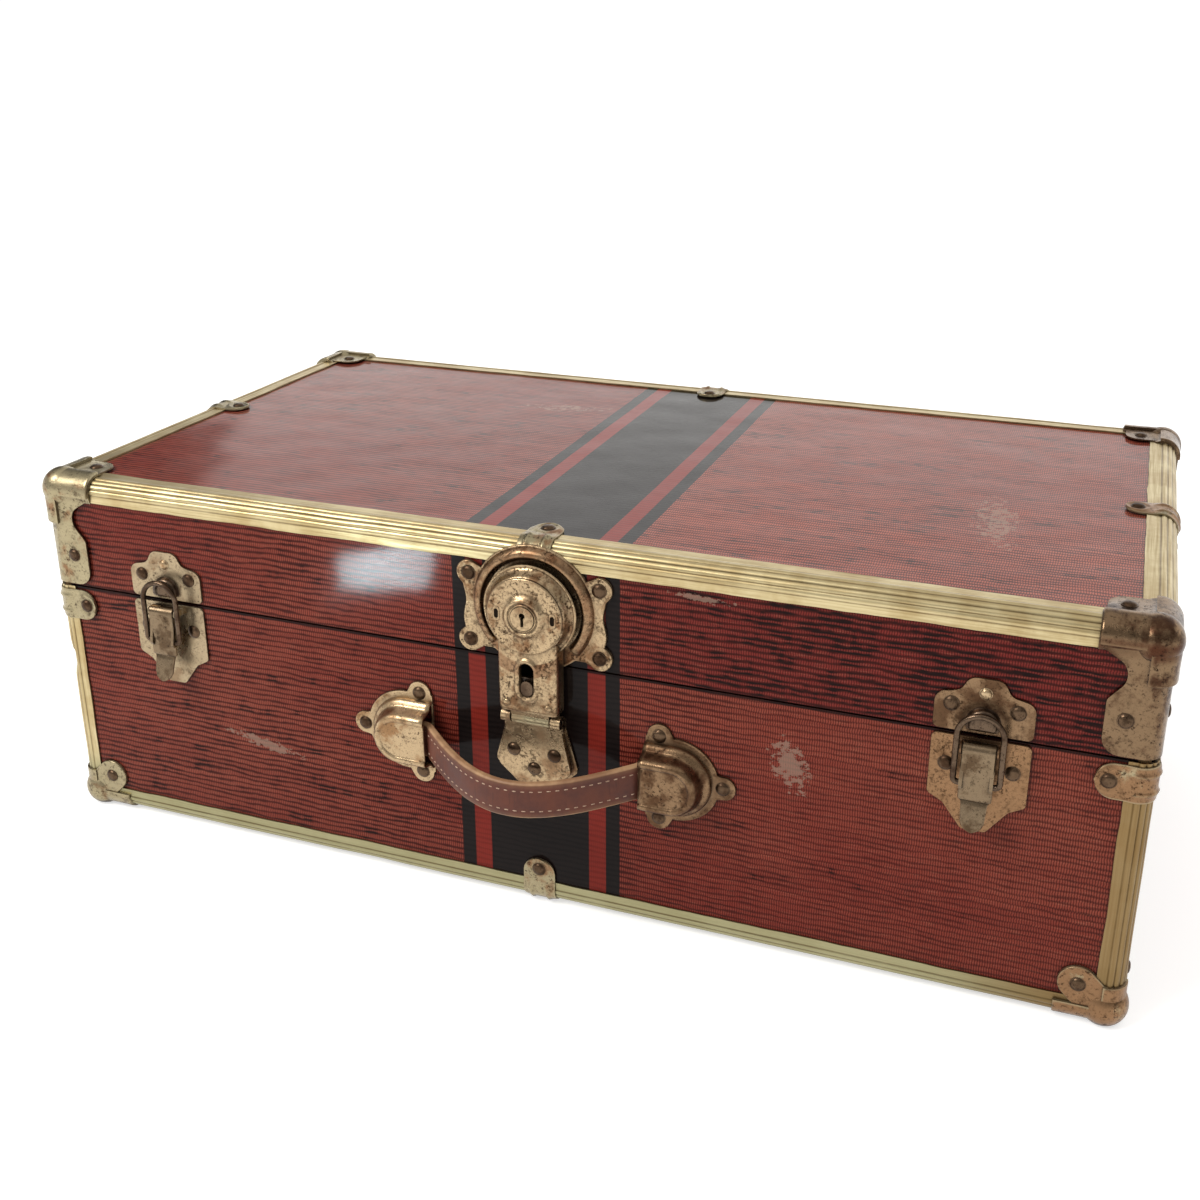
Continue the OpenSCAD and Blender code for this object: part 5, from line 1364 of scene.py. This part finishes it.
def lock_hasp():
    """The pressed hasp: a channel with a rimmed slot, a hinge barrel and two small rivets at its foot."""
    low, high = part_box("release_slide")
    middle = (low.z + high.z) / 2 + 5.1 * MM
    up, down = LOCK.z - 14 * MM - middle, middle - HASP.z - 4.8 * MM

    def plate_reach(angle, inset):
        c, t = abs(math.cos(angle)), math.sin(angle)
        tall = (up if t > 0 else down) - inset * MM
        return ((c / (HASP_HALF_W - inset * MM)) ** 16 + (abs(t) / tall) ** 16) ** (-1 / 16)

    def slot_reach(angle, outset):
        c, t = abs(math.cos(angle)), abs(math.sin(angle))
        half, straight = SLOT_HALF_W + outset * MM, SLOT_HALF_L - SLOT_HALF_W
        r = half / max(c, 1e-6)
        if r * t > straight:
            r = straight * t + math.sqrt(half ** 2 - (straight * c) ** 2)
        return r

    def ring(reach, inset, h):
        return front_ring(0, middle, h * MM, lambda a: reach(a, inset), 2 * LOCK_STEPS)

    rings = [ring(plate_reach, *level) for level in HASP_LEVELS]
    rings += [ring(slot_reach, *level) for level in SLOT_LEVELS]
    rings += [ring(plate_reach, 2.2, 9.8), rings[0]]
    form = Form()
    form.skin(rings, closed_ends=False)
    before = len(form.faces)
    profile = barrel(KNUCKLE_R, 2 * KNUCKLE_HALF, 0.6 * MM)
    form.lathe(on_front(-KNUCKLE_HALF, HASP.z, PLANE_FRONT - HASP.y), AXIS_X, profile, 32)
    barrel_faces = range(before, len(form.faces))
    form.skin([[on_front(x, HASP.z + z * MM, h * MM) for x, h in
                ((-KNUCKLE_HALF, under), (KNUCKLE_HALF, under), (KNUCKLE_HALF, over), (-KNUCKLE_HALF, over))]
               for z, under, over in ((0, 6, 8.5), (3, 6.8, 8.9), (7, 7.8, 9.9))])
    for x in (-HASP_STUD_X, HASP_STUD_X):
        form.lathe(on_front(x, HASP.z + 11 * MM, 11.9 * MM), -AXIS_Y, in_mm(HASP_STUD))
    piece = adopt(form.welded("lock_hasp_pressed", 40), "lock_hasp", LOCK_METAL)
    piece.data.materials.append(CAP_METAL)
    for k in barrel_faces:
        piece.data.polygons[k].material_index = 1


lock_drum()
lock_lid_plate()
lock_hasp()


# Nodes that keep their CAD shape

WALLS = ("front_wall", "back_wall", "left_wall", "right_wall")
STEEL_NODES = ("release_slide", "hasp_hinge_pin", "latch_pins", "handle_pins", "hinge_pins")
WOOD_NODES = ["base_bottom_panel", "base_lip", "lid_top_panel"]
WOOD_NODES += [f"{half}_{wall}" for half in ("base", "lid") for wall in WALLS]


def dress(node, material):
    """Gives a node whose shape stays its material."""
    mesh = frame["nodes"][node].data
    mesh.materials.clear()
    mesh.materials.append(material)


for node in ("key_cylinder", "lock_base_plate"):
    softened(node, LOCK_METAL)
for node in ("hinge_base_leaves", "hinge_lid_leaves"):
    softened(node, HARDWARE)
for node in STEEL_NODES:
    softened(node, STEEL, width=0.15 * MM)
for node in WOOD_NODES:
    dress(node, WOOD)
for node in ("base_lining", "lid_lining"):
    dress(node, LINING)


# Stage

FLOOR_HALF = 60


def white_floor():
    """A pale floor that keeps the object's shadow and shows white in the open."""
    s = Shader("floor_white")
    s.set(Base_Color=srgb(226, 226, 225), Roughness=0.9, Specular_IOR_Level=0.0)
    s.set(Emission_Color=(1, 1, 1, 1), Emission_Strength=s.times(s.seen(s.rays()), 0.6))
    corners = [(x * FLOOR_HALF, y * FLOOR_HALF, 0) for x, y in ((-1, -1), (1, -1), (1, 1), (-1, 1))]
    piece = Form(corners, [(0, 1, 2, 3)]).piece("floor")
    piece.data.materials.append(s.material)


def world_light():
    """A bright window behind the case, dark beside it, in a dim room, with a white backdrop."""
    s = Shader("studio", blocks=bpy.data.worlds, surface="Background")
    x, y, z = s.split(s.node("ShaderNodeTexCoord"))
    window = s.times(s.step(x, -0.59, -0.555), s.step(y, 0.0, 0.4), s.fall(z, 0.45, 0.75))
    window = s.math("MAXIMUM", window, s.fall(z, 0.02, 0.05))
    beside = s.times(s.fall(x, -0.605, -0.57), s.step(y, 0.0, 0.2), s.fall(z, 0.45, 0.7))
    room = s.add(s.step(window, 0.0, 1.0, 0.44, 1.4), s.step(z, 0.6, 0.9, 0.0, 0.45), s.times(beside, -0.36))
    ray = s.rays()
    backdrop = s.times(s.seen(ray), s.fall(z, 0.13, 0.2))
    backdrop = s.math("MAXIMUM", backdrop, ray["Is Camera Ray"])
    colour = s.mix(backdrop, (1, 0.985, 0.96, 1), (1, 1, 1, 1))
    s.set(Color=colour, Strength=s.math("MAXIMUM", room, backdrop))
    bpy.context.scene.world = s.material


def softbox(name, at, aim, size, power, spread=180, tint=(1, 0.98, 0.95)):
    lamp = bpy.data.lights.new(name, "AREA")
    lamp.shape = "RECTANGLE"
    lamp.size, lamp.size_y = size
    lamp.energy = power
    lamp.spread = math.radians(spread)
    lamp.color = tint
    piece = bpy.data.objects.new(name, lamp)
    piece.location = at
    piece.rotation_euler = (Vector(aim) - Vector(at)).to_track_quat("-Z", "Y").to_euler()
    bpy.context.scene.collection.objects.link(piece)


def photo_camera():
    data = bpy.data.cameras.new("photo_camera")
    data.sensor_width = SENSOR
    data.lens = FOCAL_PIXELS / IMAGE_SIZE * SENSOR
    data.shift_x = (IMAGE_SIZE / 2 - CENTRE_PIXEL[0]) / IMAGE_SIZE
    data.shift_y = (CENTRE_PIXEL[1] - IMAGE_SIZE / 2) / IMAGE_SIZE
    data.clip_start = 0.01
    piece = bpy.data.objects.new("photo_camera", data)
    az, el = CAMERA_AZIMUTH, CAMERA_ELEVATION
    ahead = Vector((-math.sin(az) * math.cos(el), math.cos(az) * math.cos(el), -math.sin(el)))
    right = Vector((math.cos(az), math.sin(az), 0))
    up = right.cross(ahead)
    level = Matrix((right, up, -ahead)).transposed()
    turned = level @ Matrix.Rotation(CAMERA_ROLL, 3, "Z")
    piece.matrix_world = Matrix.Translation(CAMERA_AT) @ turned.to_4x4()
    bpy.context.scene.collection.objects.link(piece)
    bpy.context.scene.camera = piece


white_floor()
world_light()
softbox("key", (-1.2, -1.3, 1.8), (0, 0, 0.1), (1.1, 0.9), 32)
softbox("low_glint", (-0.315, -0.53, 0.025), (-0.094, -0.156, 0.198), (0.085, 0.03), 0.00165,
        spread=9, tint=(0.72, 0.94, 1))
photo_camera()
bpy.context.scene.view_settings.view_transform = "Standard"
